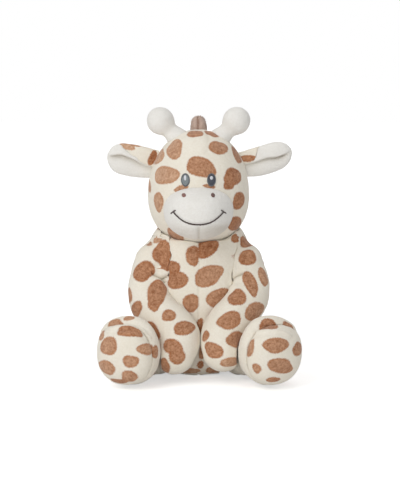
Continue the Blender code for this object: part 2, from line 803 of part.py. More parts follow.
def arm_mesh(side, inset):
    """A bent, swelling sleeve with a round paw."""
    places, radii = arm_path(side)
    rows = []
    for k in range(ARM_STEPS + 1):
        share = k / ARM_STEPS
        rows.append((catmull(places, share), catmull(radii, share).x - inset))
    heading = (places[-1] - places[-2]).normalized()
    tip, paw = PAW_TIP - inset, rows[-1][1]
    for k in range(1, PAW_TIP_RINGS):
        angle = math.pi / 2 * k / PAW_TIP_RINGS
        rows.append((places[-1] + heading * tip * math.sin(angle), paw * math.cos(angle)))
    rings = []
    for k, (place, radius) in enumerate(rows):
        along = (rows[min(k + 1, len(rows) - 1)][0] - rows[max(k - 1, 0)][0]).normalized()
        across = along.cross(Y_AXIS).normalized()
        thick = radius * ARM_THICKNESS_SHARE
        rings.append(ring(place, across, along.cross(across), radius, thick, thick,
                          facets(ARM_SEGMENTS, inset)))
    return loft(rings, last_tip=places[-1] + heading * tip)


def add_arm_form(name, side, inset, material=None):
    """The sleeve, flat against the torso and clear of the leg as it swings, with a round shoulder."""
    arm = add_object(name, *arm_mesh(side, inset), material)
    cut(arm, add_object(f"{name}_torso_clearance", *torso_mesh(-MOVING_GAP - inset)))
    for k, swing in enumerate(ARM_SWING):
        points, faces = leg_mesh(side, -ARM_LEG_GAP - inset, LEG_LENGTH)
        turn = Matrix.Rotation(swing, 4, "X")
        points = [shoulder(side) + turn @ (p - shoulder(side)) for p in points]
        cut(arm, add_object(f"{name}_leg_clearance_{k}", points, faces))
    cut(arm, add_ball(f"{name}_hip_clearance", hip(side), HIP_RADIUS + MOVING_GAP + inset,
                      LEG_SEGMENTS, outside=True))
    return join(arm, add_ball(f"{name}_ball", shoulder(side), SHOULDER_RADIUS - inset,
                              facets(ARM_SEGMENTS, inset)))


def add_arms():
    """Arm covers, open at the shoulder seam, and their wadding."""
    for side in SIDES:
        inside = add_arm_form(f"arm_inside_{side}", side, SKIN)
        inward = shoulder(side) - X_AXIS * SIDES[side] * (SHOULDER_RADIUS + OVERRUN)
        join(inside, add_rod(f"arm_bore_{side}", shoulder(side), inward, ARM_BORE, ARM_SEGMENTS))
        cut(add_arm_form(f"arm_skin_{side}", side, 0, "cream_pile"), inside)
        add_arm_form(f"arm_filling_{side}", side, SKIN + GAP, "wadding")


# Legs

def leg_frame(side):
    """The hip's centre and the directions along the leg and across it."""
    splay = LEG_SPLAY[side]
    out = Vector((SIDES[side] * math.sin(splay), -math.cos(splay), 0))
    return hip(side), out, out.cross(Z_AXIS)


def leg_ring(side, reach, width, height, middle, inset):
    """One ring of the leg, flat where it would go through the floor."""
    centre, out, across = leg_frame(side)
    level = Vector((centre.x, centre.y, middle * FOOT_HALF_HEIGHT - FOOT_SINK))
    half_height = height * FOOT_HALF_HEIGHT - inset
    points = ring(level + out * reach, across, Z_AXIS, width * FOOT_HALF_WIDTH - inset,
                  half_height, half_height, facets(LEG_SEGMENTS, inset), LEG_POWER)
    return [Vector((p.x, p.y, max(p.z, inset))) for p in points]


def leg_mesh(side, inset, length):
    """Thigh, ankle and foot up to the sole's seam, or up to length where the inside goes through."""
    rings = []
    for reach, width, height, middle in LEG_SHARES:
        rings.append(leg_ring(side, reach * LEG_LENGTH, width, height, middle, inset))
    if length > LEG_LENGTH:
        rings.append(leg_ring(side, length, *LEG_SHARES[-1][1:], inset))
    return loft(rings)


def sole_rings(side, start, bulge, inset):
    """Rings of a dome that closes the foot's end, from its rim to near its middle."""
    rings = []
    _, width, height, middle = LEG_SHARES[-1]
    for k in range(SOLE_RINGS):
        share = 1 - k / SOLE_RINGS
        rise = bulge * (1 - share ** SOLE_POWER)
        rings.append(leg_ring(side, start + rise, width * share, height * share, middle,
                              inset * share))
    return rings


def sole_tip(side, reach):
    centre, out, _ = leg_frame(side)
    middle = LEG_SHARES[-1][-1] * FOOT_HALF_HEIGHT - FOOT_SINK
    return Vector((centre.x, centre.y, middle)) + out * reach


def add_leg_form(name, side, inset, length, material=None):
    leg = add_object(name, *leg_mesh(side, inset, length), material)
    return join(leg, add_ball(f"{name}_ball", hip(side), HIP_RADIUS - inset,
                              facets(LEG_SEGMENTS, inset)))


def add_legs():
    """Leg covers, open at the hip seam and at the sole, their wadding and their soles."""
    for side in SIDES:
        inside = add_leg_form(f"leg_inside_{side}", side, SKIN, LEG_LENGTH + OVERRUN)
        behind = hip(side) + Y_AXIS * (HIP_RADIUS + OVERRUN)
        join(inside, add_rod(f"leg_bore_{side}", hip(side), behind, LEG_BORE, LEG_SEGMENTS))
        cut(add_leg_form(f"leg_skin_{side}", side, 0, LEG_LENGTH, "cream_pile"), inside)

        under = SKIN + GAP
        rings = [leg_ring(side, row[0] * LEG_LENGTH, *row[1:], under) for row in LEG_SHARES[:-1]]
        rings += sole_rings(side, LEG_LENGTH - GAP, SOLE_BULGE - under, under)
        tip = sole_tip(side, LEG_LENGTH + SOLE_BULGE - under - GAP)
        fill = add_object(f"leg_filling_{side}", *loft(rings, last_tip=tip), "wadding")
        join(fill, add_ball(f"leg_filling_{side}_ball", hip(side), HIP_RADIUS - under,
                            facets(LEG_SEGMENTS, under)))

        seam = LEG_LENGTH + GAP
        outside = sole_rings(side, seam + SKIN, SOLE_BULGE - SKIN, 0)
        within = sole_rings(side, seam, SOLE_BULGE - SKIN, 0)
        within_tip = sole_tip(side, seam + SOLE_BULGE - SKIN)
        outside_tip = sole_tip(side, seam + SOLE_BULGE)
        add_object(f"sole_{side}", *loft(within[::-1] + outside, within_tip, outside_tip),
                   "cream_pile")


# Tail

def tail_frame():
    """The middle of the tail's round root behind the torso, and its direction."""
    heights = [row[0] * TORSO_HEIGHT for row in TORSO_SHARES]
    k = max(i for i, height in enumerate(heights[:-1]) if height <= TAIL_RISE)
    share = (TAIL_RISE - heights[k]) / (heights[k + 1] - heights[k])
    back = TORSO_SHARES[k][3] + (TORSO_SHARES[k + 1][3] - TORSO_SHARES[k][3]) * share
    centre = Vector((0, back * TORSO_BACK + MOVING_GAP + TAIL_RADIUS, TAIL_RISE))
    return centre, Vector((0, math.cos(TAIL_DROP), -math.sin(TAIL_DROP)))


def add_tail():
    """A thin stuffed tail with a tuft of long pile on its end."""
    root, along = tail_frame()
    across = X_AXIS
    up = across.cross(along)
    rows = [(-TAIL_RADIUS * math.cos(math.radians(a)), TAIL_RADIUS * math.sin(math.radians(a)))
            for a in (35, 65, 90)]
    rows.append((TAIL_LENGTH, TAIL_RADIUS))
    rings = [ring(root + along * reach, across, up, radius, radius, radius, TAIL_SEGMENTS)
             for reach, radius in rows]
    add_object("tail", *loft(rings, root - along * TAIL_RADIUS), "cream_pile")
    rings = []
    for k in range(TUFT_RINGS):
        share = k / TUFT_RINGS
        swell = math.sin(math.pi * (0.22 + 0.78 * share)) ** 0.8
        rings.append(ring(root + along * (TAIL_LENGTH + GAP + share * TUFT_LENGTH), across, up,
                          TUFT_RADIUS * swell, TUFT_RADIUS * swell, TUFT_RADIUS * swell,
                          TAIL_SEGMENTS))
    tip = root + along * (TAIL_LENGTH + GAP + TUFT_LENGTH)
    add_object("tail_tuft", *loft(rings, last_tip=tip), "brown_pile")


def main():
    for obj in list(bpy.data.objects):
        bpy.data.objects.remove(obj)
    add_torso()
    add_head()
    add_muzzle()
    add_face()
    add_ears()
    add_horns()
    add_mane()
    add_arms()
    add_legs()
    add_tail()


main()
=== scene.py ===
# %% [markdown]
# # A plush giraffe that sits
# This lesson dresses a imported model of a soft toy: covers of printed pile cloth stuffed with
# wadding, an embroidered face, leaf ears, knob horns, a ridge of long pile and a tail. The packed
# model is the fixed frame. It gives each place, and most pieces made here ride on its bodies.

# %% Load the imported model
import json
import math

import bmesh
import bpy
import numpy as np
from mathutils import Matrix, Vector
from mathutils.bvhtree import BVHTree

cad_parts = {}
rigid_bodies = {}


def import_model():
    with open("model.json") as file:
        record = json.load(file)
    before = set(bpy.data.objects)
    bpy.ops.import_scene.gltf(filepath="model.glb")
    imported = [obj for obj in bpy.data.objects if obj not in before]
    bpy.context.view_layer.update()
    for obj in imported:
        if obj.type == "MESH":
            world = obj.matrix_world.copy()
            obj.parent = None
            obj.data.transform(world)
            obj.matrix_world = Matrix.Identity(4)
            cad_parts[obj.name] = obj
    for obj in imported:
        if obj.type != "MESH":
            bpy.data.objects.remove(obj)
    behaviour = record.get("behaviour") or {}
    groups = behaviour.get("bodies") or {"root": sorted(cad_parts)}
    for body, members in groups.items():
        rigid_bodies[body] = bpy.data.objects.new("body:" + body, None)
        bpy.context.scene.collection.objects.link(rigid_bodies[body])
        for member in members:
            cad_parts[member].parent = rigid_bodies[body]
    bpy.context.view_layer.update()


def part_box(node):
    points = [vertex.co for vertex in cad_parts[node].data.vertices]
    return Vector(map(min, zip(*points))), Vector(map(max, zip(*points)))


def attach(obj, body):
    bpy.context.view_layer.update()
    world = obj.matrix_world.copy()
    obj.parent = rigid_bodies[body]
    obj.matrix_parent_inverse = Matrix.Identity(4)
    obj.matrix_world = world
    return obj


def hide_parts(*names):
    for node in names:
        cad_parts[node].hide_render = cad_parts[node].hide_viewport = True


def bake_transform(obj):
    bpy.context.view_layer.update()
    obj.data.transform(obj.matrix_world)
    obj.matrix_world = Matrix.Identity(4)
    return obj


for left_over in list(bpy.data.objects):
    bpy.data.objects.remove(left_over)
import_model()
MM = 0.001
SIDES = {"left": 1, "right": -1}
X, Y, Z = np.eye(3)

# %% [markdown]
# ## The camera
# The photograph looks straight at the toy from slightly above, through a long lens. The same
# numbers also say which line of sight runs through a place in the picture, so the printed spots
# can be laid where the cloth shows them.

# %% Camera
IMAGE = (400, 492)
SIGHT = np.array((0.0014, 0.0, 0.1165))
DISTANCE, ELEVATION = 1.4, math.radians(8)
SENSOR, LENS = 36.0, 109.97
PIXELS = LENS / SENSOR * IMAGE[1]


def new_object(name, data):
    """An object with this data, put into the scene."""
    made = bpy.data.objects.new(name, data)
    bpy.context.scene.collection.objects.link(made)
    return made


ahead = np.array((0.0, math.cos(ELEVATION), -math.sin(ELEVATION)))
above = np.cross(X, ahead)
eye_place = SIGHT - ahead * DISTANCE
lens = bpy.data.cameras.new("camera")
lens.sensor_fit, lens.sensor_height, lens.lens = "VERTICAL", SENSOR, LENS
camera = new_object("camera", lens)
camera.location = eye_place
camera.rotation_euler = (math.pi / 2 - ELEVATION, 0, 0)
bpy.context.scene.camera = camera
print("camera at", np.round(eye_place, 3))


def sight_line(px, py):
    """The unit direction from the lens through a place in the picture, from its top left."""
    ray = ahead * PIXELS + X * (px - IMAGE[0] / 2) + above * (IMAGE[1] / 2 - py)
    return ray / np.linalg.norm(ray)


# %% [markdown]
# ## Soft light on a pale floor
# A product picture has no hard shadow. Four wide lamps and a pale sky do that. The floor is
# matt and pale, and takes the toy's soft shadow. The sky is white only where the lens sees it.

# %% Lamps
# Place and width in metres, and power in watts.
LAMPS = {"key_lamp": ((-0.85, -1.05, 1.05), 0.9, 7.5), "fill_lamp": ((1.15, -0.9, 0.65), 1.0, 0.4),
         "front_lamp": ((-0.1, -1.6, 0.15), 0.9, 5.6), "top_lamp": ((0.0, 0.15, 1.5), 1.1, 3.2)}
for name, (place, size, power) in LAMPS.items():
    lamp = bpy.data.lights.new(name, "AREA")
    lamp.size, lamp.energy = size, power
    holder = new_object(name, lamp)
    holder.location = place
    holder.rotation_euler = (Vector(SIGHT) - Vector(place)).to_track_quat("-Z", "Y").to_euler()
bpy.context.scene.view_settings.view_transform = "Standard"
print("lamps", list(LAMPS))


# %% Shader nodes
def feed(tree, node, inputs):
    """Puts numbers, or links from other nodes' outputs, into a node's inputs."""
    for socket, value in inputs.items():
        if isinstance(value, bpy.types.NodeSocket):
            tree.links.new(value, node.inputs[socket])
        else:
            node.inputs[socket].default_value = value
    return node


def add_node(tree, kind, inputs=None, **settings):
    """A new node with its settings, and with its inputs fed."""
    node = tree.nodes.new(kind)
    for key, value in settings.items():
        setattr(node, key, value)
    return feed(tree, node, inputs or {})


def new_finish(name):
    """A material, its tree, its shader and the place on the object."""
    made = bpy.data.materials.new(name)
    made.use_nodes = True
    place = add_node(made.node_tree, "ShaderNodeTexCoord").outputs["Object"]
    return made, made.node_tree, made.node_tree.nodes["Principled BSDF"], place


def noise(tree, place, size, detail=2.0, roughness=0.5):
    """Noise whose features are about size metres across."""
    return add_node(tree, "ShaderNodeTexNoise", {"Vector": place, "Scale": 1 / size,
                    "Detail": detail, "Roughness": roughness}).outputs[0]


def spread(tree, value, low, high, new_low=0.0, new_high=1.0):
    """The value moved from one range to another, and held inside it."""
    return add_node(tree, "ShaderNodeMapRange", {0: value, 1: low, 2: high, 3: new_low,
                    4: new_high}).outputs[0]


def mottled(tree, place, size, low, detail=3.0, roughness=0.7):
    """Noise with its contrast raised: low becomes 0, and as far above the middle becomes 1."""
    return spread(tree, noise(tree, place, size, detail, roughness), low, 1 - low)


def mixed(tree, share, first, second, kind="MIX"):
    """Two colours mixed by a share, or multiplied."""
    return add_node(tree, "ShaderNodeMix", {0: share, 6: first, 7: second}, data_type="RGBA",
                    blend_type=kind).outputs[2]


def calculated(tree, operation, first, second):
    return add_node(tree, "ShaderNodeMath", {0: first, 1: second}, operation=operation).outputs[0]


def added(tree, first, second):
    return calculated(tree, "ADD", first, second)


def product(tree, first, second):
    return calculated(tree, "MULTIPLY", first, second)


def seen_directly(tree):
    """1 for rays from the lens and for those that a gloss or a clear thing passes on."""
    path = add_node(tree, "ShaderNodeLightPath")
    seen = path.outputs["Is Camera Ray"]
    for other in ("Is Glossy Ray", "Is Transmission Ray"):
        seen = calculated(tree, "MAXIMUM", seen, path.outputs[other])
    return seen


# %% Sky and floor
SKY_STRENGTH, FLOOR_HALF, PAPER_GRAIN = 0.43, 4.0, 1 / 60
world = bpy.data.worlds.new("studio")
bpy.context.scene.world = world
world.use_nodes = True
sky = world.node_tree
feed(sky, sky.nodes["Background"], {"Color": (1, 1, 1, 1), "Strength": spread(
    sky, seen_directly(sky), 0.0, 1.0, SKY_STRENGTH, 1.0)})

floor_mesh = bpy.data.meshes.new("floor")
corners = [(x * FLOOR_HALF, y * FLOOR_HALF, 0) for x, y in ((-1, -1), (1, -1), (1, 1), (-1, 1))]
floor_mesh.from_pydata(corners, [], [(0, 1, 2, 3)])
new_object("floor", floor_mesh)
paper, tree, matt, place = new_finish("studio_paper")
grain = noise(tree, place, PAPER_GRAIN, 3.0)
far_off = add_node(tree, "ShaderNodeVectorMath", {0: place}, operation="LENGTH").outputs["Value"]
whiten = spread(tree, far_off, 0.15, 0.8, 0.5, 0.78)
feed(tree, matt, {
    "Base Color": mixed(tree, grain, (0.91, 0.91, 0.91, 1), (0.93, 0.93, 0.93, 1)),
    "Roughness": 1.0, "Specular IOR Level": 0.0, "Emission Color": (1, 1, 1, 1),
    "Emission Strength": product(tree, seen_directly(tree), whiten)})
floor_mesh.materials.append(paper)
print("floor", floor_mesh.name, "sky", world.name)

# %% [markdown]
# ## Closed forms from rings
# Nearly all of a stuffed toy is a row of rings: a body, an arm, a horn. Each form here is one
# array of points, ring by ring, and a smooth curve fills in between the few rings that are given.

# %% Rings and curves
def curve_through(rows, count):
    """Catmull-Rom curve through rows of numbers, read at evenly spaced places.

    Between rows b and c, with a before and d after, the value at share t is half of
    2b + (c - a)t + (2a - 5b + 4c - d)t^2 + (3b - a - 3c + d)t^3.
    """
    rows = np.asarray(rows, float)
    ends = np.vstack([2 * rows[0] - rows[1], rows, 2 * rows[-1] - rows[-2]])
    place = np.linspace(0, len(rows) - 1, count)
    k = np.minimum(place.astype(int), len(rows) - 2)
    t = (place - k)[:, None]
    a, b, c, d = ends[k], ends[k + 1], ends[k + 2], ends[k + 3]
    return (2 * b + (c - a) * t + (2 * a - 5 * b + 4 * c - d) * t ** 2
            + (3 * b - a - 3 * c + d) * t ** 3) / 2


def signed_power(value, power):
    return np.sign(value) * np.abs(value) ** power


def round_rings(centres, across, up, width, segments, low=None, high=None, power=2.0):
    """A stack of superellipses: each point is its centre, plus across times width times
    cos^(2/power), plus up times low or high times sin^(2/power), round the ring's angle."""
    low = width if low is None else low
    high = low if high is None else high
    angle = np.linspace(0, 2 * np.pi, segments, endpoint=False)
    c, s = signed_power(np.cos(angle), 2 / power), signed_power(np.sin(angle), 2 / power)
    width, low, high = (np.broadcast_to(v, len(centres))[:, None] for v in (width, low, high))
    across, up = (np.broadcast_to(v, centres.shape)[:, None] for v in (across, up))
    rise = np.where(s > 0, high, low) * s
    return centres[:, None] + across * (width * c)[..., None] + up * rise[..., None]


def ring_faces(rows, columns):
    """Squares between neighbouring rings."""
    k, start = np.arange(columns), np.arange(rows - 1)[:, None] * columns
    here, beside = start + k, start + (k + 1) % columns
    return np.stack([here, beside, beside + columns, here + columns], -1).reshape(-1, 4)


def add_piece(name, points, faces):
    """A mesh object at the origin, from arrays of points and faces, with its faces outwards."""
    mesh = bpy.data.meshes.new(name)
    mesh.from_pydata(points.tolist(), [], faces)
    shaped = bmesh.new()
    shaped.from_mesh(mesh)
    bmesh.ops.recalc_face_normals(shaped, faces=shaped.faces)
    shaped.to_mesh(mesh)
    shaped.free()
    mesh.shade_smooth()
    return new_object(name, mesh)


def closed_form(name, rings, first_tip=None, last_tip=None):
    """A piece from stacked rings, closed by a fan of triangles to a tip at either end."""
    count, columns = rings.shape[:2]
    first_tip = rings[0].mean(0) if first_tip is None else first_tip
    last_tip = rings[-1].mean(0) if last_tip is None else last_tip
    k, start, end = np.arange(columns), (count - 1) * columns, count * columns
    beside = (k + 1) % columns
    fans = np.vstack([np.stack([beside, k, np.full(columns, end)], -1),
                      np.stack([k + start, beside + start, np.full(columns, end + 1)], -1)])
    return add_piece(name, np.vstack([rings.reshape(-1, 3), first_tip, last_tip]),
                     ring_faces(count, columns).tolist() + fans.tolist())


def ball(centre, radius, segments):
    """Rings of a ball: height -radius times cos, reach radius times sin, of the angle down."""
    angle = np.pi * np.arange(1, segments // 2) / (segments // 2)
    levels = centre - Z * radius * np.cos(angle)[:, None]
    rings = round_rings(levels, X, Y, radius * np.sin(angle), segments)
    return closed_form("ball", rings, centre - Z * radius, centre + Z * radius)


# %% [markdown]
# ## The toy's forms
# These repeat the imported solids' main measures, with more rings so that nothing looks cut from
# flats. A form can be grown a little along its normals, which gives the room round a neighbour.

# %% Reading, moving and growing a mesh
def points_of(piece):
    """The mesh's points as an array."""
    points = np.empty(len(piece.data.vertices) * 3)
    piece.data.vertices.foreach_get("co", points)
    return points.reshape(-1, 3)


def normals_of(piece):
    """The outward direction at each point."""
    normals = np.empty(len(piece.data.vertices) * 3)
    piece.data.vertex_normals.foreach_get("vector", normals)
    return normals.reshape(-1, 3)


def move_points(piece, points):
    """Puts an array of points back into the mesh."""
    piece.data.vertices.foreach_set("co", points.ravel())
    piece.data.update()


def grown(form, amount):
    """A copy of a form, moved outwards by amount along its normals."""
    copy = new_object(form.name + "_grown", form.data.copy())
    move_points(copy, points_of(copy) + normals_of(copy) * amount)
    return copy


# %% Torso and head forms
# Height, half width, front and back of the torso, in millimetres.
TORSO_ROWS = np.array((
    (0.0, 34.3, 27.0, 28.8), (2.1, 41.6, 33.1, 35.1), (8.6, 47.8, 38.7, 40.5),
    (22.9, 51.5, 42.6, 44.1), (42.9, 52.0, 43.5, 45.0), (68.6, 50.2, 41.5, 43.4),
    (91.5, 47.1, 37.4, 39.2), (111.5, 48.4, 34.8, 36.0), (125.8, 43.7, 30.5, 34.2),
    (135.1, 36.9, 26.1, 31.5), (140.9, 23.4, 19.6, 20.3)))
HEAD_CENTRE = np.array((0.0, 0.0, 162 * MM))
HEAD_RADIUS, HEAD_DOME, HEAD_POWER = 47 * MM, 63 * MM, 2.15
TORSO_POWER, TORSO_TOP = 2.2, 143 * MM


def torso_form():
    """Superelliptic rings up the body, on a curve through the table's rows."""
    height, width, front, back = (curve_through(TORSO_ROWS, 72) * MM).T
    rings = round_rings(Z * height[:, None], X, Y, width, 72, front, back, TORSO_POWER)
    return closed_form("torso_shape", rings, last_tip=Z * TORSO_TOP)


def head_reach(rise):
    """The head's half width at a height above its centre: a ball below, a fuller dome above."""
    low = np.sqrt(np.clip(HEAD_RADIUS ** 2 - rise ** 2, 0, None))
    share = np.clip(rise / HEAD_DOME, 0, 1)
    high = HEAD_RADIUS * (1 - share ** HEAD_POWER) ** (1 / HEAD_POWER)
    return np.where(rise < 0, low, high)


def head_form():
    """Round rings on the head's outline, closer together towards the crown and the chin."""
    turn = np.linspace(-np.pi / 2, np.pi / 2, 66)[1:-1]
    rise = np.where(turn < 0, HEAD_RADIUS * np.sin(turn),
                    HEAD_DOME * np.abs(np.sin(turn)) ** (2 / HEAD_POWER))
    rings = round_rings(HEAD_CENTRE + Z * rise[:, None], X, Y, head_reach(rise), 80)
    return closed_form("head_shape", rings, HEAD_CENTRE - Z * HEAD_RADIUS,
                       HEAD_CENTRE + Z * HEAD_DOME)


torso, head = torso_form(), head_form()
print("torso", len(torso.data.vertices), "head", len(head.data.vertices))

# %% Muzzle and horn forms
MUZZLE_BACK = HEAD_CENTRE - Z * 8 * MM - Y * 27 * MM
MUZZLE_HALF_WIDTH, MUZZLE_HALF_HEIGHT, MUZZLE_LENGTH = 32.2 * MM, 24 * MM, 49 * MM
MUZZLE_SAG, SAG_REACH, OUTLINE_POWER, BULGE_POWER = 0.15, 27 * MM, 2.15, 2.2
HORN_SPREAD, HORN_TILT = math.radians(19), math.radians(44)
# How far out along a horn, and its radius there, then the place of its tip, in millimetres.
HORN_ROWS = np.array(((-6, 10.4), (-2.5, 10.1), (1, 9.2), (4, 8.3), (6.6, 7.9), (9.0, 8.7),
                      (11.6, 10.4), (15.2, 12.1), (19.4, 12.7), (23.6, 12.0), (27.4, 9.6),
                      (30.1, 6.6), (31.6, 3.3)))
HORN_END = 32


def muzzle_form():
    """Superelliptic rings that shrink as cos^(2/bulge) while they run out as sin^(2/bulge). The
    lower half sags by a share that grows in proportion to the distance out."""
    turn = np.linspace(0, np.pi / 2, 42)[:-1]
    along = MUZZLE_LENGTH * np.sin(turn) ** (2 / BULGE_POWER)
    share = np.cos(turn) ** (2 / BULGE_POWER)
    tall = MUZZLE_HALF_HEIGHT * share
    low = tall * (1 + MUZZLE_SAG * np.clip(along / SAG_REACH, 0, 1))
    rings = round_rings(MUZZLE_BACK - Y * along[:, None], X, Z, MUZZLE_HALF_WIDTH * share, 72,
                        low, tall, OUTLINE_POWER)
    return closed_form("muzzle_shape", rings, last_tip=MUZZLE_BACK - Y * MUZZLE_LENGTH)


def horn_frame(side):
    """Where a horn stands on the crown, and its direction."""
    spread_out = math.tan(HORN_SPREAD) * HEAD_DOME
    rise = HEAD_DOME * (1 - (spread_out / HEAD_RADIUS) ** HEAD_POWER) ** (1 / HEAD_POWER)
    foot = HEAD_CENTRE + np.array((SIDES[side] * spread_out, 0, rise))
    return foot, np.array((SIDES[side] * math.sin(HORN_TILT), 0, math.cos(HORN_TILT)))


def horn_form(side):
    """Round rings along a straight line, on a curve through the horn's rows."""
    foot, along = horn_frame(side)
    reach, radius = (curve_through(HORN_ROWS, 48) * MM).T
    rings = round_rings(foot + along * reach[:, None], np.cross(along, Y), Y, radius, 40)
    return closed_form(f"horn_shape_{side}", rings, last_tip=foot + along * HORN_END * MM)


muzzle = muzzle_form()
horns = {side: horn_form(side) for side in SIDES}

# %% Arm and leg forms
SHOULDER = {s: np.array((k * 43, -14, 104.5)) * MM for s, k in SIDES.items()}
HIP = {s: np.array((k * 38, -24, 17)) * MM for s, k in SIDES.items()}
SHOULDER_RADIUS, HIP_RADIUS = 16 * MM, 17 * MM
ARM_DROP = {"left": 77.5 * MM, "right": 80 * MM}
# What the arm's shares are taken of, and the paw's round tip, in millimetres and in rings.
ARM_INWARD, ARM_FORWARD, ARM_RADIUS, ARM_FLATNESS = 25.5 * MM, 46 * MM, 19.4 * MM, 0.9
PAW_TIP, PAW_RINGS = 16, 10
# Inward, forward and down from the shoulder, then the radius, as shares.
ARM_START = ((0.00, 0.00, 0.00, 0.76), (-0.12, 0.09, 0.18, 0.90), (-0.10, 0.28, 0.38, 1.00))
ARM_ROWS = {"left": np.array((*ARM_START, (0.28, 0.58, 0.57, 1.04), (0.84, 0.84, 0.78, 1.00),
                              (0.80, 1.00, 1.00, 0.92))),
            "right": np.array((*ARM_START, (0.30, 0.58, 0.57, 1.02), (0.98, 0.84, 0.78, 1.02),
                               (0.84, 1.00, 1.00, 0.88)))}
LEG_SPLAY = {"left": math.radians(26.5), "right": math.radians(25)}
LEG_LENGTH, FOOT_WIDTH, FOOT_HEIGHT, FOOT_SINK = 74.7 * MM, 27 * MM, 30.5 * MM, 0.5 * MM
LEG_POWER, FLOOR_CLEAR = 2.15, 0.15 * MM
# Distance out, width, height and the middle's height, as shares.
LEG_ROWS = np.array(((0.00, 0.52, 0.46, 0.55), (0.20, 0.58, 0.52, 0.61), (0.38, 0.62, 0.58, 0.73),
                     (0.50, 0.77, 0.76, 0.91), (0.60, 0.94, 0.94, 1.06), (0.70, 1.02, 1.01, 1.10),
                     (0.78, 1.02, 0.97, 1.06), (0.83, 0.99, 0.88, 1.02)))
SOLE_RIM, SOLE_BULGE, SOLE_POWER = 0.83 * LEG_LENGTH, 18.6 * MM, 2.15


def unit(vectors):
    """Each vector of an array at length one."""
    return vectors / np.maximum(np.linalg.norm(vectors, axis=-1, keepdims=True), 1e-9)


def arm_form(side):
    """Rings square to a curve from the shoulder to the paw, which ends in a round tip."""
    size = np.array((-SIDES[side] * ARM_INWARD, -ARM_FORWARD, -ARM_DROP[side], ARM_RADIUS))
    rows = curve_through(ARM_ROWS[side], 46) * size
    centres, radius = SHOULDER[side] + rows[:, :3], rows[:, 3]
    heading = centres[-1] - centres[-4]
    heading /= np.linalg.norm(heading)
    turn = np.linspace(0, np.pi / 2, PAW_RINGS + 2)[1:-1, None]
    centres = np.vstack([centres, centres[-1] + heading * PAW_TIP * MM * np.sin(turn)])
    radius = np.append(radius, radius[-1] * np.cos(turn))
    along = np.gradient(centres, axis=0)
    along[-PAW_RINGS:] = heading
    across = unit(np.cross(along, Y))
    thick = unit(np.cross(along, across))
    rings = round_rings(centres, across, thick, radius, 40, ARM_FLATNESS * radius)
    return closed_form(f"arm_shape_{side}", rings,
                       last_tip=rings[-1].mean(0) + heading * 0.4 * MM)


# In millimetres: how far out the sleeve's seam runs at each height, then the shoulders' height
# and half width.
SLEEVE_SEAM = {
    "left": ((80, 29.5), (92, 30.5), (100, 31.8), (115, 34.6), (124, 36.0), (132, 34.0),
             (138, 28.6)),
    "right": ((80, 27.0), (103, 26.8), (112, 24.9), (121, 25.6), (132, 27.0), (138, 24.0))}
SHOULDER_ROWS = np.array(((81, 60.0), (86, 62.4), (93, 62.6), (103, 60.0), (112, 54.8),
                          (121, 47.2), (127.5, 42.0), (131.5, 38.8), (137, 34.6)))
SHOULDER_BACK, SHOULDER_ROUND, ROUND_FROM = 13 * MM, 11 * MM, 92 * MM


def seam_at(side, height):
    """How far out the sleeve's seam runs at each height."""
    return np.interp(height, *(np.array(SLEEVE_SEAM[side]) * MM).T)


def shoulder_form(side):
    """The sleeve's top: rings of a superellipse cut off by the seam's plane. The front reaches
    just so far that it meets the chest at the seam, and the bottom rounds in like a dome."""
    height, wide = (curve_through(SHOULDER_ROWS, 44) * MM).T
    seam = seam_at(side, height)
    seam = seam + 0.5 * MM * np.sin(height / (2.6 * MM)) + 0.4 * MM * np.sin(height / (1.3 * MM))
    body_height, body_width, body_front, _ = (curve_through(TORSO_ROWS, 200) * MM).T
    body_wide, chest = (np.interp(height, body_height, v) for v in (body_width, body_front))
    chest = chest * (1 - (seam / body_wide) ** TORSO_POWER) ** (1 / TORSO_POWER)
    front = chest / (1 - (seam / wide) ** TORSO_POWER) ** (1 / TORSO_POWER)
    corner = np.arccos((seam / wide) ** (TORSO_POWER / 2))[:, None]
    angle = corner * np.linspace(-1, 1, 40)
    x = wide[:, None] * np.cos(angle) ** (2 / TORSO_POWER)
    depth = np.where(angle < 0, front[:, None], SHOULDER_BACK)
    y = depth * signed_power(np.sin(angle), 2 / TORSO_POWER)
    down = np.linspace(0, 1, 16)[1:-1]
    wall = y[:, -1:] + (y[:, :1] - y[:, -1:]) * down
    x, y = np.hstack([x, seam[:, None] + 0 * wall]), np.hstack([y, wall])
    shrink = np.sqrt(1 - np.clip((ROUND_FROM - height) / SHOULDER_ROUND, 0, 0.985) ** 2)[:, None]
    middle_x, middle_y = SHOULDER["left"][:2]
    x, y = middle_x + (x - middle_x) * shrink, middle_y + (y - middle_y) * shrink
    rings = np.stack([SIDES[side] * x, y, height[:, None] + 0 * x], -1)
    return closed_form(f"shoulder_shape_{side}", rings)


def leg_axes(side):
    """The direction along the leg and the one across it, both level."""
    splay = LEG_SPLAY[side]
    out = np.array((SIDES[side] * math.sin(splay), -math.cos(splay), 0))
    return out, np.cross(out, Z)


def leg_rings(side, rows):
    """Upright superelliptic rings square to the leg, flat where they would go through the floor."""
    out, across = leg_axes(side)
    reach, width, height, middle = rows.T
    centres = HIP[side] * (1, 1, 0) + out * reach[:, None]
    centres = centres + Z * (middle * FOOT_HEIGHT - FOOT_SINK)[:, None]
    tall = height * FOOT_HEIGHT
    rings = round_rings(centres, across, Z, width * FOOT_WIDTH, 64, tall, power=LEG_POWER)
    rings[..., 2] = np.maximum(rings[..., 2], FLOOR_CLEAR)
    return rings


def leg_form(side):
    """Thigh, narrow ankle and round foot, up to the seam of the sole."""
    rows = curve_through(LEG_ROWS, 60) * (LEG_LENGTH, 1, 1, 1)
    return closed_form(f"leg_shape_{side}", leg_rings(side, rows))


arms = {side: arm_form(side) for side in SIDES}
legs = {side: leg_form(side) for side in SIDES}
print("arm", len(arms["left"].data.vertices), "leg", len(legs["left"].data.vertices))

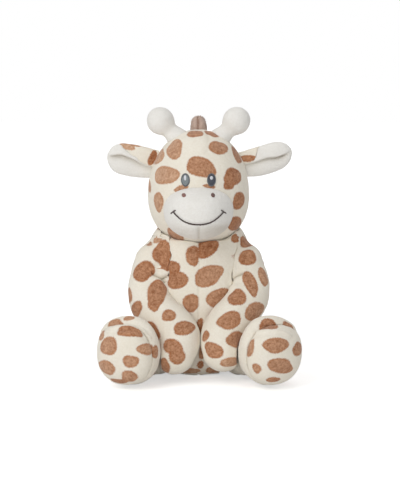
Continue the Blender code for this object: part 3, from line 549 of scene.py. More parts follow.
# %% [markdown]
# ## Sewing and stuffing
# A stuffed cover is one closed bag. The form is cut clear of its neighbours, joined to its round
# root, and then remeshed into small even squares, which melts the joints as tight cloth does.
# Seams, puckers and soft dents are pressed in afterwards, because a remesh would wipe them out.

# %% Modifiers that are applied at once
VOXEL, MUZZLE_VOXEL, FINE_VOXEL, EAR_VOXEL = 1.15 * MM, 1.0 * MM, 0.8 * MM, 0.6 * MM


def apply_modifiers(piece):
    """Replaces the piece's mesh by what its modifiers make of it."""
    graph = bpy.context.evaluated_depsgraph_get()
    made = bpy.data.meshes.new_from_object(piece.evaluated_get(graph))
    piece.modifiers.clear()
    made.name = piece.name
    piece.data = made
    return piece


def discard(*pieces):
    for piece in pieces:
        bpy.data.objects.remove(piece)


def cut_by(piece, *cutters):
    """The piece less each cutter. The cutters are thrown away."""
    for cutter in cutters:
        cutting = piece.modifiers.new("cut", "BOOLEAN")
        cutting.operation, cutting.solver, cutting.object = "DIFFERENCE", "EXACT", cutter
    apply_modifiers(piece)
    discard(*cutters)
    return piece


def joined_with(piece, *others):
    """One mesh of several closed forms. The remesh makes one skin of them."""
    whole = bmesh.new()
    for each in (piece, *others):
        whole.from_mesh(each.data)
    whole.to_mesh(piece.data)
    whole.free()
    discard(*others)
    return piece


def tight_skin(piece, size=VOXEL, relax=8):
    """Remeshes to even squares, then lets each point settle towards its neighbours' middle."""
    net = piece.modifiers.new("net", "REMESH")
    net.mode, net.voxel_size, net.use_smooth_shade = "VOXEL", size, True
    settle = piece.modifiers.new("settle", "SMOOTH")
    settle.factor, settle.iterations = 0.5, relax
    apply_modifiers(piece)
    piece.data.shade_smooth()
    return piece


# %% Body, head and muzzle covers
ROOM, MUZZLE_ROOM, FACE_ROOM, SEAM_GAP = 0.5 * MM, 1.2 * MM, 0.1 * MM, -0.15 * MM
HIP_RAISE, NOTCH_REACH = math.radians(8), 68 * MM
NOD_DOWN, TURNS = math.radians(4), np.radians((-30, -20, -10, 0, 10, 20, 30))


def hip_notch(side):
    """The corner that a leg fills from lying forward to hanging down: an arc over the hip, and
    straight edges in front, as a prism across."""
    radius, reach = HIP_RADIUS + 2 * ROOM, NOTCH_REACH
    turn = np.linspace(0, np.pi / 2 - HIP_RAISE, 14)
    arc = np.stack([radius * np.cos(turn), radius * np.sin(turn)], -1)
    top = arc[-1, 1] + (arc[-1, 0] + reach) * math.tan(HIP_RAISE)
    outline = np.vstack([(radius, -reach), arc, (-reach, top), (-reach, -reach)])
    sides = np.array((-SIDES[side] * radius, SIDES[side] * reach))
    rings = np.empty((2, len(outline), 3))
    rings[..., 0] = sides[:, None]
    rings[..., 1:] = outline
    return closed_form("notch", rings + HIP[side])


def turned_about(points, place, axis, angle):
    """Points turned by an angle about a line through a place."""
    turn = np.array(Matrix.Rotation(angle, 3, Vector(axis)))
    return (points - place) @ turn.T + place


def nodding_muzzle(turn):
    """The muzzle grown by its clearance, at the lowest nod, and turned with the head."""
    form = grown(muzzle, MUZZLE_ROOM)
    nodded = turned_about(points_of(form), HEAD_CENTRE, X, NOD_DOWN)
    move_points(form, turned_about(nodded, HEAD_CENTRE, Z, turn))
    return form


whole_torso = torso_form()
torso_clear = grown(whole_torso, ROOM)
discard(whole_torso)
shoulders = {side: shoulder_form(side) for side in SIDES}
cut_by(torso, ball(HEAD_CENTRE, HEAD_RADIUS + ROOM, 64), *[nodding_muzzle(turn) for turn in TURNS])
for side in SIDES:
    cut_by(torso, hip_notch(side), ball(SHOULDER[side], SHOULDER_RADIUS + ROOM, 48))
    cut_by(torso, grown(shoulders[side], SEAM_GAP))
    cut_by(shoulders[side], ball(HEAD_CENTRE, HEAD_RADIUS + 2 * ROOM, 64))
tight_skin(torso)
face_clear = grown(head, FACE_ROOM)
tight_skin(head)
cut_by(muzzle, face_clear)
tight_skin(muzzle, MUZZLE_VOXEL)
for name, piece in (("torso", torso), ("head", head), ("muzzle", muzzle)):
    print(name, len(piece.data.polygons), "squares")

# %% Arm, leg and sole covers
LEG_ROOM, ARM_RELAX = 1.2 * MM, 12
ARM_SWINGS = [math.radians(a) for a in (0, 9, 18, 28)]
SOLE_WIDE, SOLE_TALL, SOLE_MIDDLE = 0.985, 0.885, 1.02


def swung_leg(side, angle):
    """The leg grown by its clearance and turned back about the shoulder's level axis."""
    form = grown(legs[side], LEG_ROOM)
    move_points(form, turned_about(points_of(form), SHOULDER[side], X, angle))
    return form


def sole_form(side):
    """A dome of shrinking rings over a flat inside: the rings' size is cos^(2/power) and their
    distance out sin^(2/power) of the angle, with a rolled rim at the seam."""
    turn = np.linspace(0, np.pi / 2, 26)[:-1]
    share = np.cos(turn) ** (2 / SOLE_POWER)
    outer = np.stack([SOLE_RIM + 1.3 * MM + SOLE_BULGE * np.sin(turn) ** (2 / SOLE_POWER),
                      SOLE_WIDE * share, SOLE_TALL * share,
                      SOLE_MIDDLE + 0.06 * np.sin(turn) ** 2], -1)
    inner_share = np.linspace(0.1, 0.97, 8)
    inner = np.stack([SOLE_RIM + 0.3 * MM + 0 * inner_share, SOLE_WIDE * inner_share,
                      SOLE_TALL * inner_share, SOLE_MIDDLE + 0 * inner_share], -1)
    return closed_form(f"sole_cover_{side}", leg_rings(side, np.vstack([inner, outer])))


for side in SIDES:
    swept = [swung_leg(side, angle) for angle in ARM_SWINGS]
    cut_by(arms[side], grown(torso_clear, 0), *swept, ball(HIP[side], HIP_RADIUS + ROOM, 48))
    joined_with(arms[side], ball(SHOULDER[side], SHOULDER_RADIUS, 48), shoulders[side])
    tight_skin(arms[side], relax=ARM_RELAX)
    joined_with(legs[side], ball(HIP[side], HIP_RADIUS, 48))
    tight_skin(legs[side])
soles = {side: tight_skin(sole_form(side), FINE_VOXEL, 3) for side in SIDES}
print("arm", len(arms["left"].data.polygons), "leg", len(legs["left"].data.polygons),
      "sole", len(soles["left"].data.polygons))

# %% Horn covers
# How far the horns, the ears and the mane reach into the head's form.
HORN_SINK, EAR_SINK, MANE_SINK = 0.6 * MM, 1.2 * MM, 0.5 * MM
for side in SIDES:
    cut_by(horns[side], grown(head, -HORN_SINK))
    tight_skin(horns[side], FINE_VOXEL, 4)
discard(torso_clear)
print("horn", len(horns["left"].data.polygons))

# %% [markdown]
# ## Ears
# Each ear is a leaf that is stuffed thinly and folded lengthwise. The printed cloth covers the
# back and comes over the top edge. The plain lining puffs out below a deep crease, wraps the
# lower edge, and near the tip rolls up over the front. One function gives the leaf's surface at
# any depth below it, so the cloth and the lining under it fit each other.

# %% The leaf's surface
EAR_LENGTH = {"left": 50.5 * MM, "right": 47.6 * MM}
EAR_LIFT = {"left": math.radians(15), "right": math.radians(6)}
EAR_TALL = {"left": 13.6 * MM, "right": 15.0 * MM}
# How far the leaf's middle rises half way out, and at its tip.
EAR_BEND = {"left": (-1.6 * MM, 0.4 * MM), "right": (0.3 * MM, 2.4 * MM)}
EAR_DEEP, EAR_CLOTH, EAR_GAP = 6.6 * MM, 1.4 * MM, 0.06 * MM
EAR_RISE, EAR_BACKSET, EAR_START = 31 * MM, 3 * MM, 4 * MM
EAR_HEM, CREASE_DEPTH, CLOTH_END = math.radians(250), 5.6 * MM, 0.965
# Distance out, height and depth of the leaf's oval, as shares.
EAR_ROWS = np.array(((0.00, 0.86, 0.62), (0.12, 0.91, 0.76), (0.26, 0.97, 0.92), (0.44, 1.00, 1.00),
                     (0.62, 1.00, 0.96), (0.76, 0.95, 0.86), (0.87, 0.79, 0.72),
                     (0.95, 0.52, 0.52), (1.00, 0.16, 0.22)))
# Distance out as a share, the crease's angle and the rolled lining's top angle, counted in
# degrees from the front up over the top, and the crease's depth as a share.
EAR_FOLDS = {"left": ((0, -4, -1, 0.5), (0.24, -3, 0, 0.6), (0.27, -2, 4, 0.65), (0.34, 0, 20, 0.7),
                      (0.40, 2, 50, 0.75), (0.45, 4, 90, 0.8), (0.55, 4, 112, 0.9),
                      (0.70, -4, 118, 1), (0.84, -6, 120, 1), (0.92, -6, 120, 0.4),
                      (1, -6, 120, 0)),
             "right": ((0, -22, -19, 0.5), (0.17, -16, -13, 0.55), (0.34, -7, -3, 0.7),
                       (0.43, 0, 13, 0.8), (0.55, 7, 21, 0.9), (0.72, 14, 46, 1),
                       (0.80, 13, 90, 1), (0.87, 9, 115, 0.8), (0.93, 6, 120, 0.4), (1, 6, 120, 0))}


def ear_frame(side):
    """The ear's root inside the head, and the directions out along it and up it."""
    lift = EAR_LIFT[side]
    out = np.array((SIDES[side] * math.cos(lift), 0, math.sin(lift)))
    up = np.array((-SIDES[side] * math.sin(lift), 0, math.cos(lift)))
    seam = HEAD_CENTRE + (SIDES[side] * float(head_reach(EAR_RISE)), EAR_BACKSET, EAR_RISE)
    return seam - out * (EAR_START + 0.5 * MM), out, up


def folds(side, reach):
    """The crease's angle, the roll's angle and the crease's depth at each distance out."""
    place, crease, roll, deep = np.array(EAR_FOLDS[side], float).T
    return (np.radians(np.interp(reach, place, crease)), np.radians(np.interp(reach, place, roll)),
            np.interp(reach, place, deep) * CREASE_DEPTH)


def leaf_shape(side, reach):
    """The leaf's height and depth as shares at each distance out, and its middle's rise."""
    curve = curve_through(EAR_ROWS, 400)
    tall, deep = (np.interp(reach, curve[:, 0], curve[:, k]) for k in (1, 2))
    middle, tip = EAR_BEND[side]
    return tall, deep, middle * np.sin(np.pi * reach) + tip * reach ** 2


def leaf_points(side, reach, angle, sunk):
    """The root, plus out along the ear, less Y times the depth's cosine, plus up times the
    height's sine of the angle, all sunk by an amount. At the crease the leaf sinks more: sharply
    on the flap's side, and as a fading e-curve on the lower side."""
    root, out, up = ear_frame(side)
    tall, deep, lift = leaf_shape(side, reach)
    crease, _, groove = folds(side, reach)
    run = (angle - crease) * EAR_TALL[side] * tall
    below = np.minimum(run, 0)
    near = np.where(run > 0, np.exp(-(run / (0.8 * MM)) ** 2),
                    0.65 * np.exp(below / (2.8 * MM)) + 0.35 * np.exp(below / (8 * MM)))
    sunk = sunk + groove * near
    high = np.maximum(tall * EAR_TALL[side] - sunk, 0.3 * MM)
    wide = np.maximum(deep * EAR_DEEP - sunk, 0.3 * MM)
    return (root + out * (reach * EAR_LENGTH[side] - np.minimum(sunk, 2 * MM) * reach)[..., None]
            - Y * (wide * np.cos(angle))[..., None]
            + up * (high * np.sin(angle) + lift)[..., None])


# %% Cloth and lining of the ears
def dip(distance, width):
    """A groove's depth, 1 on its line and fading as e^-(distance / width)^2."""
    return np.exp(-(distance / width) ** 2)


def crease_shade(piece, side):
    """1 in the crease and fading within a few millimetres of it, on the front alone."""
    root, out, up = ear_frame(side)
    points = points_of(piece) - root
    reach = np.clip(points @ out / EAR_LENGTH[side], 0, 1)
    crease, _, groove = folds(side, reach)
    tall, _, lift = leaf_shape(side, reach)
    off = points @ up - (tall * EAR_TALL[side] * np.sin(crease) + lift)
    near = np.where(off > 0, dip(off, 0.8 * MM), np.exp(-np.abs(off) / (2.2 * MM)))
    return near * groove / CREASE_DEPTH * (points[:, 1] < 0)


def step_up(value, width):
    """A smooth step from 0 to 1 about zero."""
    return 1 / (1 + np.exp(-np.clip(value / width, -40, 40)))


def ear_lining(side):
    """The whole leaf, sunk by the cloth's thickness where the cloth lies on it."""
    reach = np.linspace(0, 1, 64)[:, None]
    angle = np.linspace(EAR_HEM - 2 * np.pi, EAR_HEM, 180, endpoint=False)[None]
    _, roll, _ = folds(side, reach)
    covered = (step_up(angle - roll - 0.02, 0.03) * step_up(EAR_HEM - 0.06 - angle, 0.03)
               * step_up(CLOTH_END - reach, 0.006))
    return closed_form(f"ear_lining_{side}_cloth", leaf_points(
        side, reach, angle, (EAR_CLOTH + EAR_GAP) * covered))


def ear_cloth(side):
    """A strip of the leaf's surface and the same strip sunk, from the roll round to the hem."""
    reach = np.linspace(0, CLOTH_END - 0.01, 60)[:, None]
    _, roll, _ = folds(side, reach)
    first, share = roll + 0.035, np.linspace(0, 1, 90)[None]
    angle = first + (EAR_HEM - 0.09 - first) * share
    rounding = np.sqrt(np.clip(1 - (2 * share - 1) ** 40, 0, 1)) + 0 * reach
    sunk = EAR_CLOTH / 2 * (1 - rounding)
    outer = leaf_points(side, reach, angle, sunk)
    inner = leaf_points(side, reach, angle, EAR_CLOTH - sunk)
    return closed_form(f"ear_outside_{side}_cloth", np.hstack([outer, inner[:, ::-1]]))


ears = {}
for side in SIDES:
    ears[side, False], ears[side, True] = ear_cloth(side), ear_lining(side)
    for lining in (False, True):
        tight_skin(ears[side, lining], EAR_VOXEL, 3)
        cut_by(ears[side, lining], grown(head, -EAR_SINK))
print("ear layers", [len(e.data.polygons) for e in ears.values()])

# %% [markdown]
# ## The ridge of long pile
# A strip of grey-brown pile stands along the middle of the crown and runs down the back of the
# head, parted along its top. A soft core keeps its shape, and thin tapered locks of pile cover it.

# %% Mane core
MANE_FIRST, MANE_LAST = math.radians(84), math.radians(-4)
MANE_HALF_WIDTH, MANE_HEIGHT = 7.0 * MM, 13.6 * MM


def middle_line(angle):
    """Places on the head's outline behind and above its centre, by angle above the level, found
    where rise equals reach times the angle's tangent, and the outward directions there."""
    rise = np.linspace(-HEAD_RADIUS * 0.4, HEAD_DOME * 0.99999, 4000)
    reach = head_reach(rise)
    place = np.interp(angle, np.arctan2(rise, reach), np.arange(len(rise)))
    rise, reach = (np.interp(place, np.arange(len(v)), v) for v in (rise, reach))
    points = HEAD_CENTRE + Y * reach[:, None] + Z * rise[:, None]
    out = unit(np.cross(X, np.gradient(points, axis=0)))
    facing = np.sign(((points - HEAD_CENTRE) * out).sum(1))[:, None]
    return points, out * facing


def mane_form():
    """Half-oval rings on the head's middle line, with rounded ends and a parting on top."""
    share = np.linspace(0, 1, 60)
    places, out = middle_line(MANE_FIRST + (MANE_LAST - MANE_FIRST) * share)
    end = np.clip(np.minimum(share / 0.07 + 0.12, (1 - share) / 0.16 + 0.1), 0, 1)
    swell = np.sqrt(1 - (1 - end) ** 2)
    width, height = MANE_HALF_WIDTH * swell, MANE_HEIGHT * swell
    rings = round_rings(places, X, out, width, 40, 3 * MM + 0 * width, height, power=2.6)
    across = rings[..., 0] / width[:, None]
    groove = 0.3 * MM * dip(across, 0.2) * swell[:, None]
    high = np.linspace(0, 2 * np.pi, 40, endpoint=False) < np.pi
    return closed_form("mane_core", rings - out[:, None] * (groove * high)[..., None])


mane = mane_form()
tight_skin(mane, FINE_VOXEL, 3)
cut_by(mane, grown(head, -MANE_SINK))
print("mane core", len(mane.data.polygons))

# %% [markdown]
# ## Tail, neck wadding and pellet pouch
# The tail is a thin stuffed tube that ends in a tuft of long pile. The neck's wadding joins body
# and head, and the pouch weights the seat. Both lie inside and are made as what they are.

# %% Tail, neck and pouch forms
TAIL_DROP, TAIL_LENGTH = math.radians(75), 26 * MM
TAIL_ROOT = np.array((0.0, 49.69, 48.0)) * MM
tail_along = np.array((0, math.cos(TAIL_DROP), -math.sin(TAIL_DROP)))


def straight_form(name, root, along, rows, segments=28):
    """Round rings along a straight line, on a curve through rows of reach and radius."""
    reach, radius = (curve_through(rows, 8 * len(rows)) * MM).T
    side = np.cross(along, X) if abs(along @ X) < 0.9 else np.cross(along, Y)
    side = side / np.linalg.norm(side)
    rings = round_rings(root + along * reach[:, None], side, np.cross(along, side), radius,
                        segments)
    return closed_form(name, rings)


tail = straight_form("tail_cloth", TAIL_ROOT, tail_along,
                     ((-4.5, 0.7), (-4.1, 2.0), (-3.0, 3.5), (0, 4.6), (8, 4.3), (17, 4.2),
                      (24, 4.4), (26.5, 3.9), (27.2, 1.0)))
tuft_root = TAIL_ROOT + tail_along * (TAIL_LENGTH - 1 * MM)
tuft = straight_form("tail_tuft_core", tuft_root, tail_along,
                     ((0.2, 1.2), (0.8, 4.2), (4, 5.8), (9, 6.1), (14, 4.3), (18, 1.8),
                      (19.4, 0.4)))
neck_low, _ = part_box("neck_filling")
neck = straight_form("neck_wadding", np.array((0, 0, neck_low[2])), Z,
                     ((0.05, 21.5), (0.8, 23.0), (3, 23.4), (6, 23.4), (9, 23.3)), 48)
cut_by(neck, ball(HEAD_CENTRE, HEAD_RADIUS + 0.4 * MM, 64))
pouch_low, pouch_high = (np.array(corner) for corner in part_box("bean_pouch"))


def pouch_form():
    """A superellipsoid in the pouch's box: a pillow with soft corners."""
    middle, half = (pouch_low + pouch_high) / 2, (pouch_high - pouch_low) / 2
    turn = np.linspace(-np.pi / 2, np.pi / 2, 30)[1:-1]
    level, share = signed_power(np.sin(turn), 0.8), np.cos(turn) ** 0.8
    rings = round_rings(middle + Z * (half[2] * level)[:, None], X, Y, half[0] * share, 48,
                        half[1] * share, power=2.6)
    return closed_form("pellet_pouch", rings, middle - Z * half[2], middle + Z * half[2])


pouch = pouch_form()
print("tail at", np.round(TAIL_ROOT, 4), "pouch", np.round(pouch_low, 4), np.round(pouch_high, 4))

# %% [markdown]
# ## Seams, puckers and dents
# Stuffed cloth is never quite smooth. Seams pull in, the cloth puckers beside them, and the
# wadding leaves soft dents. Each is a small move along the surface's own direction. Painted
# shade in the seams, creases and folds and under the muzzle is stored as a value named seam.

# %% Pressing the surface
# A distance, in metres, at which no groove is felt, and the seed of each part's unevenness.
NOWHERE = 1.0
SEEDS = {"middle_seam": 3, "pucker": 5, "chin": 8, "dart": 9, "torso": 11, "parting": 17,
         "head": 21, "muzzle": 31, "arm": 41, "leg": 51, "ankle": 61, "gather": 63,
         "horn": 71, "ear": 81, "mane": 91, "tail": 95}


def ripple(points, wavelength, seed, waves=26):
    """Seeded soft noise from -1 to 1: the mean of sines in random directions, scaled up."""
    draw = np.random.default_rng(seed)
    ways = draw.normal(size=(waves, 3))
    ways *= 2 * np.pi / wavelength / np.linalg.norm(ways, axis=1)[:, None]
    ways *= draw.uniform(0.7, 1.4, waves)[:, None]
    total = np.sin(points @ ways.T + draw.uniform(0, 2 * np.pi, waves)).sum(1)
    return np.clip(total / math.sqrt(waves), -1.6, 1.6) / 1.6


def press(piece, depth):
    """Moves each point along its normal: outwards where depth is positive."""
    move_points(piece, points_of(piece) + normals_of(piece) * depth[:, None])


def dented(piece, seed, soft=0.45 * MM, fine=0.12 * MM):
    """Broad dents of the wadding, and finer unevenness of the cloth."""
    points = points_of(piece)
    press(piece, soft * ripple(points, 30 * MM, seed) + fine * ripple(points, 7 * MM, seed + 1))


def write_attribute(piece, name, values):
    layer = piece.data.attributes.get(name) or piece.data.attributes.new(name, "FLOAT", "POINT")
    layer.data.foreach_set("value", np.asarray(values, np.float32))


def seen_at(points):
    """Where each point shows in the picture, and how far off it is, from the lens's own axes."""
    away = points - eye_place
    depth = away @ ahead
    return (IMAGE[0] / 2 + PIXELS * (away @ X) / depth,
            IMAGE[1] / 2 - PIXELS * (away @ above) / depth, depth)


def drawn_line(piece, line):
    """How far, in metres, each point that faces the lens is from a line drawn in the picture."""
    px, py, depth = seen_at(points_of(piece))
    line = np.asarray(line, float)
    best = np.full(len(px), np.inf)
    for (ax, ay), (bx, by) in zip(line[:-1], line[1:]):
        long = (bx - ax) ** 2 + (by - ay) ** 2
        share = np.clip(((px - ax) * (bx - ax) + (py - ay) * (by - ay)) / long, 0, 1)
        best = np.minimum(best, np.hypot(px - ax - share * (bx - ax), py - ay - share * (by - ay)))
    return np.where(normals_of(piece) @ ahead < 0.25, best * depth / PIXELS, NOWHERE)


# %% Seams of the body, head and muzzle
points = points_of(torso)
sway = 0.3 * MM * ripple(points * (0, 0, 1), 30 * MM, SEEDS["middle_seam"])
middle_seam = np.abs(points[:, 0] - sway)
pucker = ripple(points * (0.25, 1, 1), 8 * MM, SEEDS["pucker"])
seam_depth = dip(middle_seam, 1.2 * MM) * (0.55 + 0.3 * pucker) * MM
press(torso, -seam_depth + 0.42 * MM * pucker * dip(middle_seam, 7 * MM)
      * (1 - dip(middle_seam, 1 * MM)))
dented(torso, SEEDS["torso"], soft=0.7 * MM, fine=0.16 * MM)
# Painted shade: the cloth is darkened along the middle seam's groove.
write_attribute(torso, "seam", 0.6 * dip(middle_seam, 0.6 * MM))

DART_FROM, DART_OFFSET, HELD_BELOW = 205 * MM, 8.5 * MM, -6 * MM
points = points_of(head)
back_seam = np.where(points[:, 1] > 0, np.abs(points[:, 0]), NOWHERE)
dart_sway = 0.8 * MM * ripple(points, 14 * MM, SEEDS["dart"])
dart_off = np.abs(points[:, 0] - DART_OFFSET - dart_sway)
crown_dart = np.where((points[:, 2] > DART_FROM) & (points[:, 1] < 10 * MM), dart_off, NOWHERE)
press(head, -0.7 * MM * dip(back_seam, 1.3 * MM) - 0.5 * MM * dip(crown_dart, 2.0 * MM))
dented(head, SEEDS["head"], soft=0.4 * MM)
away = points_of(head) - HEAD_CENTRE
far = np.linalg.norm(away, axis=1)
held = np.where(away[:, 2] < HELD_BELOW, np.minimum(1, (HEAD_RADIUS + 0.1 * MM) / far), 1)
move_points(head, HEAD_CENTRE + away * held[:, None])
# Painted shade: the cloth is darkened along the back seam, and along the crown's dart, fading out
# towards its lower end.
dart_fade = np.clip((points[:, 2] - DART_FROM) / (14 * MM), 0, 1)
write_attribute(head, "seam", np.maximum(
    dip(back_seam, 0.8 * MM), 0.4 * dip(crown_dart, 1.3 * MM) * dart_fade))

MOUTH_HALF_WIDTH, MOUTH_CORNER, MOUTH_DEPTH, MOUTH_POWER = 22.2 * MM, 2.0 * MM, 10.2 * MM, 2.4
SHADE_BELOW = -6 * MM


def smile_height(share):
    """The smile's height over the muzzle's middle, at a share of its half width."""
    return MOUTH_CORNER - MOUTH_DEPTH * (1 - np.abs(share) ** MOUTH_POWER)


points = points_of(muzzle)
across, rise = points[:, 0], points[:, 2] - MUZZLE_BACK[2]
smile = smile_height(np.clip(np.abs(across) / MOUTH_HALF_WIDTH, 0, 1))
beyond = np.clip(np.abs(across) - MOUTH_HALF_WIDTH, 0, None)
smile_off = np.hypot(rise - smile, beyond) + np.where(points[:, 1] > -40 * MM, NOWHERE, 0)
under = np.clip((smile - rise) / (4 * MM), 0, 1)
chin = dip(across - 0.2 * MM, 1.3 * MM) * under * (points[:, 1] < -30 * MM)
press(muzzle, -0.9 * MM * dip(smile_off, 1.6 * MM) - 0.8 * MM * chin
      + 0.3 * MM * dip(across, 12 * MM) * under
      * ripple(points * (1, 0, 0.1), 6 * MM, SEEDS["chin"]))
dented(muzzle, SEEDS["muzzle"], soft=0.35 * MM)
press(muzzle, 0.13 * MM * ripple(points_of(muzzle), 3.4 * MM, SEEDS["muzzle"] + 2, 60))
# Painted shade: the chin's groove and the muzzle's underside below SHADE_BELOW are darkened, more
# towards the toy's left side.
low = np.clip((SHADE_BELOW - rise) / (8 * MM), 0, 1)
low = low ** 2 * (3 - 2 * low)
lean = np.clip((across + 2 * MM) / (22 * MM), 0, 1)
write_attribute(muzzle, "seam", 0.7 * chin + low * (0.3 + 0.8 * lean))
print("pressed", torso.name, head.name, muzzle.name)

# %% The sleeves' seams
def sleeve_seam_off(piece, side):
    """How far each point on the chest's front is from the sleeve's seam, level with it."""
    points = points_of(piece)
    front = (points[:, 1] < -8 * MM) & (points[:, 2] > 84 * MM)
    off = np.abs(SIDES[side] * points[:, 0] - seam_at(side, points[:, 2]))
    return np.where(front, off, NOWHERE)


for side in SIDES:
    for piece in (torso, arms[side]):
        off = sleeve_seam_off(piece, side)
        fill = dip(off, 1.8 * MM) * np.clip(normals_of(piece) @ ahead * -2, 0, 1)
        move_points(piece, points_of(piece) - Y * (0.9 * MM * fill)[:, None])
print("sleeve seams filled")

# %% Folds that the picture shows
ARM_FOLDS = {"right": (((153, 273.5), (157.5, 276), (161.5, 279), (165, 283)),
                       ((170.6, 274), (166, 277), (163, 279))),
             "left": (((242, 273.5), (237.5, 275.5), (233.6, 278.5), (231.4, 284)),
                      ((229.6, 262), (231, 272), (231.4, 282)))}
FOOT_RIDGES = {
    "right": ((110.5, 329), (118, 326.6), (126, 326), (135, 327), (143, 331), (149.5, 338)),
    "left": ((254, 333), (262, 331), (272, 330.4), (283, 332), (290, 335))}
for side in SIDES:
    painted_fold_shade = []
    for fold in ARM_FOLDS[side]:
        off = drawn_line(arms[side], fold)
        press(arms[side], -2.4 * MM * dip(off, 1.4 * MM) + 0.8 * MM * dip(off - 4 * MM, 2.4 * MM))
        painted_fold_shade.append(dip(off, 1.0 * MM))
    for piece in (legs[side], soles[side]):
        off = drawn_line(piece, FOOT_RIDGES[side])
        press(piece, 0.9 * MM * dip(off, 1.3 * MM) - 0.7 * MM * dip(off - 3.2 * MM, 1.8 * MM))
    # Painted shade: the arms are darkened along the folds drawn above.
    write_attribute(arms[side], "seam", 1.7 * np.max(painted_fold_shade, axis=0))
print("folds", sum(len(f) for f in ARM_FOLDS.values()), "on the arms, ridges on both feet")

# %% Dents of the limbs, ears, horns and mane
# Out along the leg as a share of it, sideways and up: the middle of the foot's fuller top corner.
CORNER_OUT, CORNER_SIDE, CORNER_UP, CORNER_SWELL = 0.74, 22, 51, 4.2
ANKLE = 0.40
for k, side in enumerate(SIDES):
    out, across_leg = leg_axes(side)
    dented(arms[side], SEEDS["arm"] + k, soft=0.65 * MM, fine=0.18 * MM)
    outward = -SIDES[side] * across_leg
    corner = (HIP[side] * (1, 1, 0) + out * CORNER_OUT * LEG_LENGTH + outward * CORNER_SIDE * MM
              + Z * CORNER_UP * MM)
    for piece in (legs[side], soles[side]):
        points = points_of(piece)
        near_corner = dip(np.linalg.norm(points - corner, axis=1), 13 * MM)[:, None]
        points = points + (outward * 0.93 + Z * 0.3) * CORNER_SWELL * MM * near_corner
        move_points(piece, points)
        reach = (points - HIP[side]) @ out
        sway = 3 * MM * ripple(points, 22 * MM, SEEDS["ankle"] + k)
        crease = dip(reach - ANKLE * LEG_LENGTH - sway, 2.6 * MM)
        upper = np.clip((points[:, 2] - 20 * MM) / (14 * MM), 0, 1)
        # Painted shade: a line along the sole's seam, darkened in the finish; the surface is not
        # moved here.
        rim = dip(reach - SOLE_RIM - 0.8 * MM, 1.0 * MM)
        gather = ripple(points, 5.5 * MM, SEEDS["gather"] + k) * dip(reach - SOLE_RIM, 5 * MM)
        press(piece, -0.9 * MM * crease * upper + 0.22 * MM * gather)
        dented(piece, SEEDS["leg"] + k, soft=0.5 * MM, fine=0.15 * MM)
        write_attribute(piece, "seam", rim)
    dented(horns[side], SEEDS["horn"] + k, soft=0.3 * MM)
    for lining in (False, True):
        dented(ears[side, lining], SEEDS["ear"] + k, soft=0.3 * MM, fine=0.1 * MM)
dented(mane, SEEDS["mane"], soft=0.4 * MM, fine=0.4 * MM)
dented(tail, SEEDS["tail"], soft=0.25 * MM)
print("dented", len(SIDES) * 6 + 2, "pieces")

# %% [markdown]
# ## Printed spots
# The print is a plain giraffe pattern: brown ovals on cream. Each spot starts where a line of
# sight through the picture meets the cloth, and it spreads on the cloth from there, so it stays
# right from every side. The cloth stores how far each point lies inside the nearest spot's edge,
# in millimetres, and the finish turns that distance into a soft edge of pile.

# %% The spots that show
# Picture place, half length, half width, tilt in degrees, tone from light (0) to dark (1), and
# where it is given, the side of the middle seam that the spot stays on.
# The head's tones are partly the print's own and partly painted light and shade: spots on the toy's
# left side of the head are given darker tones as painted shade, and those on its right side paler
# ones as painted light.
HEAD_SPOTS = ((194.9, 133.1, 8, 3.4, 5, .8), (212.2, 133.0, 7.4, 3.2, -14, .9),
              (174.1, 148.3, 10.3, 6.6, 62, .35), (219.0, 147.3, 9.6, 6.3, -6, .65),
              (201.2, 167.1, 14.8, 9.8, -14, .7), (164.6, 175.0, 12.2, 8.6, 16, .25),
              (233.6, 176.6, 8.6, 8.0, 60, .95), (229.2, 184.2, 5.6, 5.0, 40, .95),
              (158.1, 202.0, 9.8, 4.0, 95, .3), (239.5, 200.7, 8.9, 5.2, 80, .95),
              (235.8, 224.4, 7.2, 6.0, 60, 1), (175.0, 235.0, 9.0, 4.6, -38, .6),
              (181.0, 188.2, 7.0, 2.5, 17, .4), (209.3, 186.4, 6.0, 1.8, -8, .5),
              (149.4, 185.9, 6.5, 1.8, 92, .5), (158.6, 156.6, 8.5, 4.6, 62, .15),
              (237.2, 154.4, 9.5, 3.4, -62, .8))
TORSO_SPOTS = ((192.9, 255.6, 9.6, 7.0, 85, .8, -1), (207.0, 247.6, 12.5, 8.6, 38, 1, 1),
               (208.7, 275.8, 15, 9.6, 24, .6), (191.2, 302.8, 9.2, 7.8, 62, .7, -1),
               (218.6, 297.5, 12.4, 8.0, 24, .65), (177.2, 280.0, 10.4, 8.6, -8, .85),
               (173.6, 267.6, 7.5, 5.4, -60, .9), (199.8, 324.0, 5.5, 2.6, 85, .9),
               (201.6, 333.5, 6.0, 4.6, 60, .9), (200.4, 364.7, 4.0, 2.8, 70, .8),
               (215.0, 370.0, 9.6, 3.2, 4, .5), (189.5, 371.4, 10, 2.6, 2, .3),
               (224.0, 232.9, 4.5, 2.2, 20, .8), (202.2, 352.0, 7.0, 3.0, 85, .6),
               (235.6, 238.2, 4.6, 4.2, 0, .85))
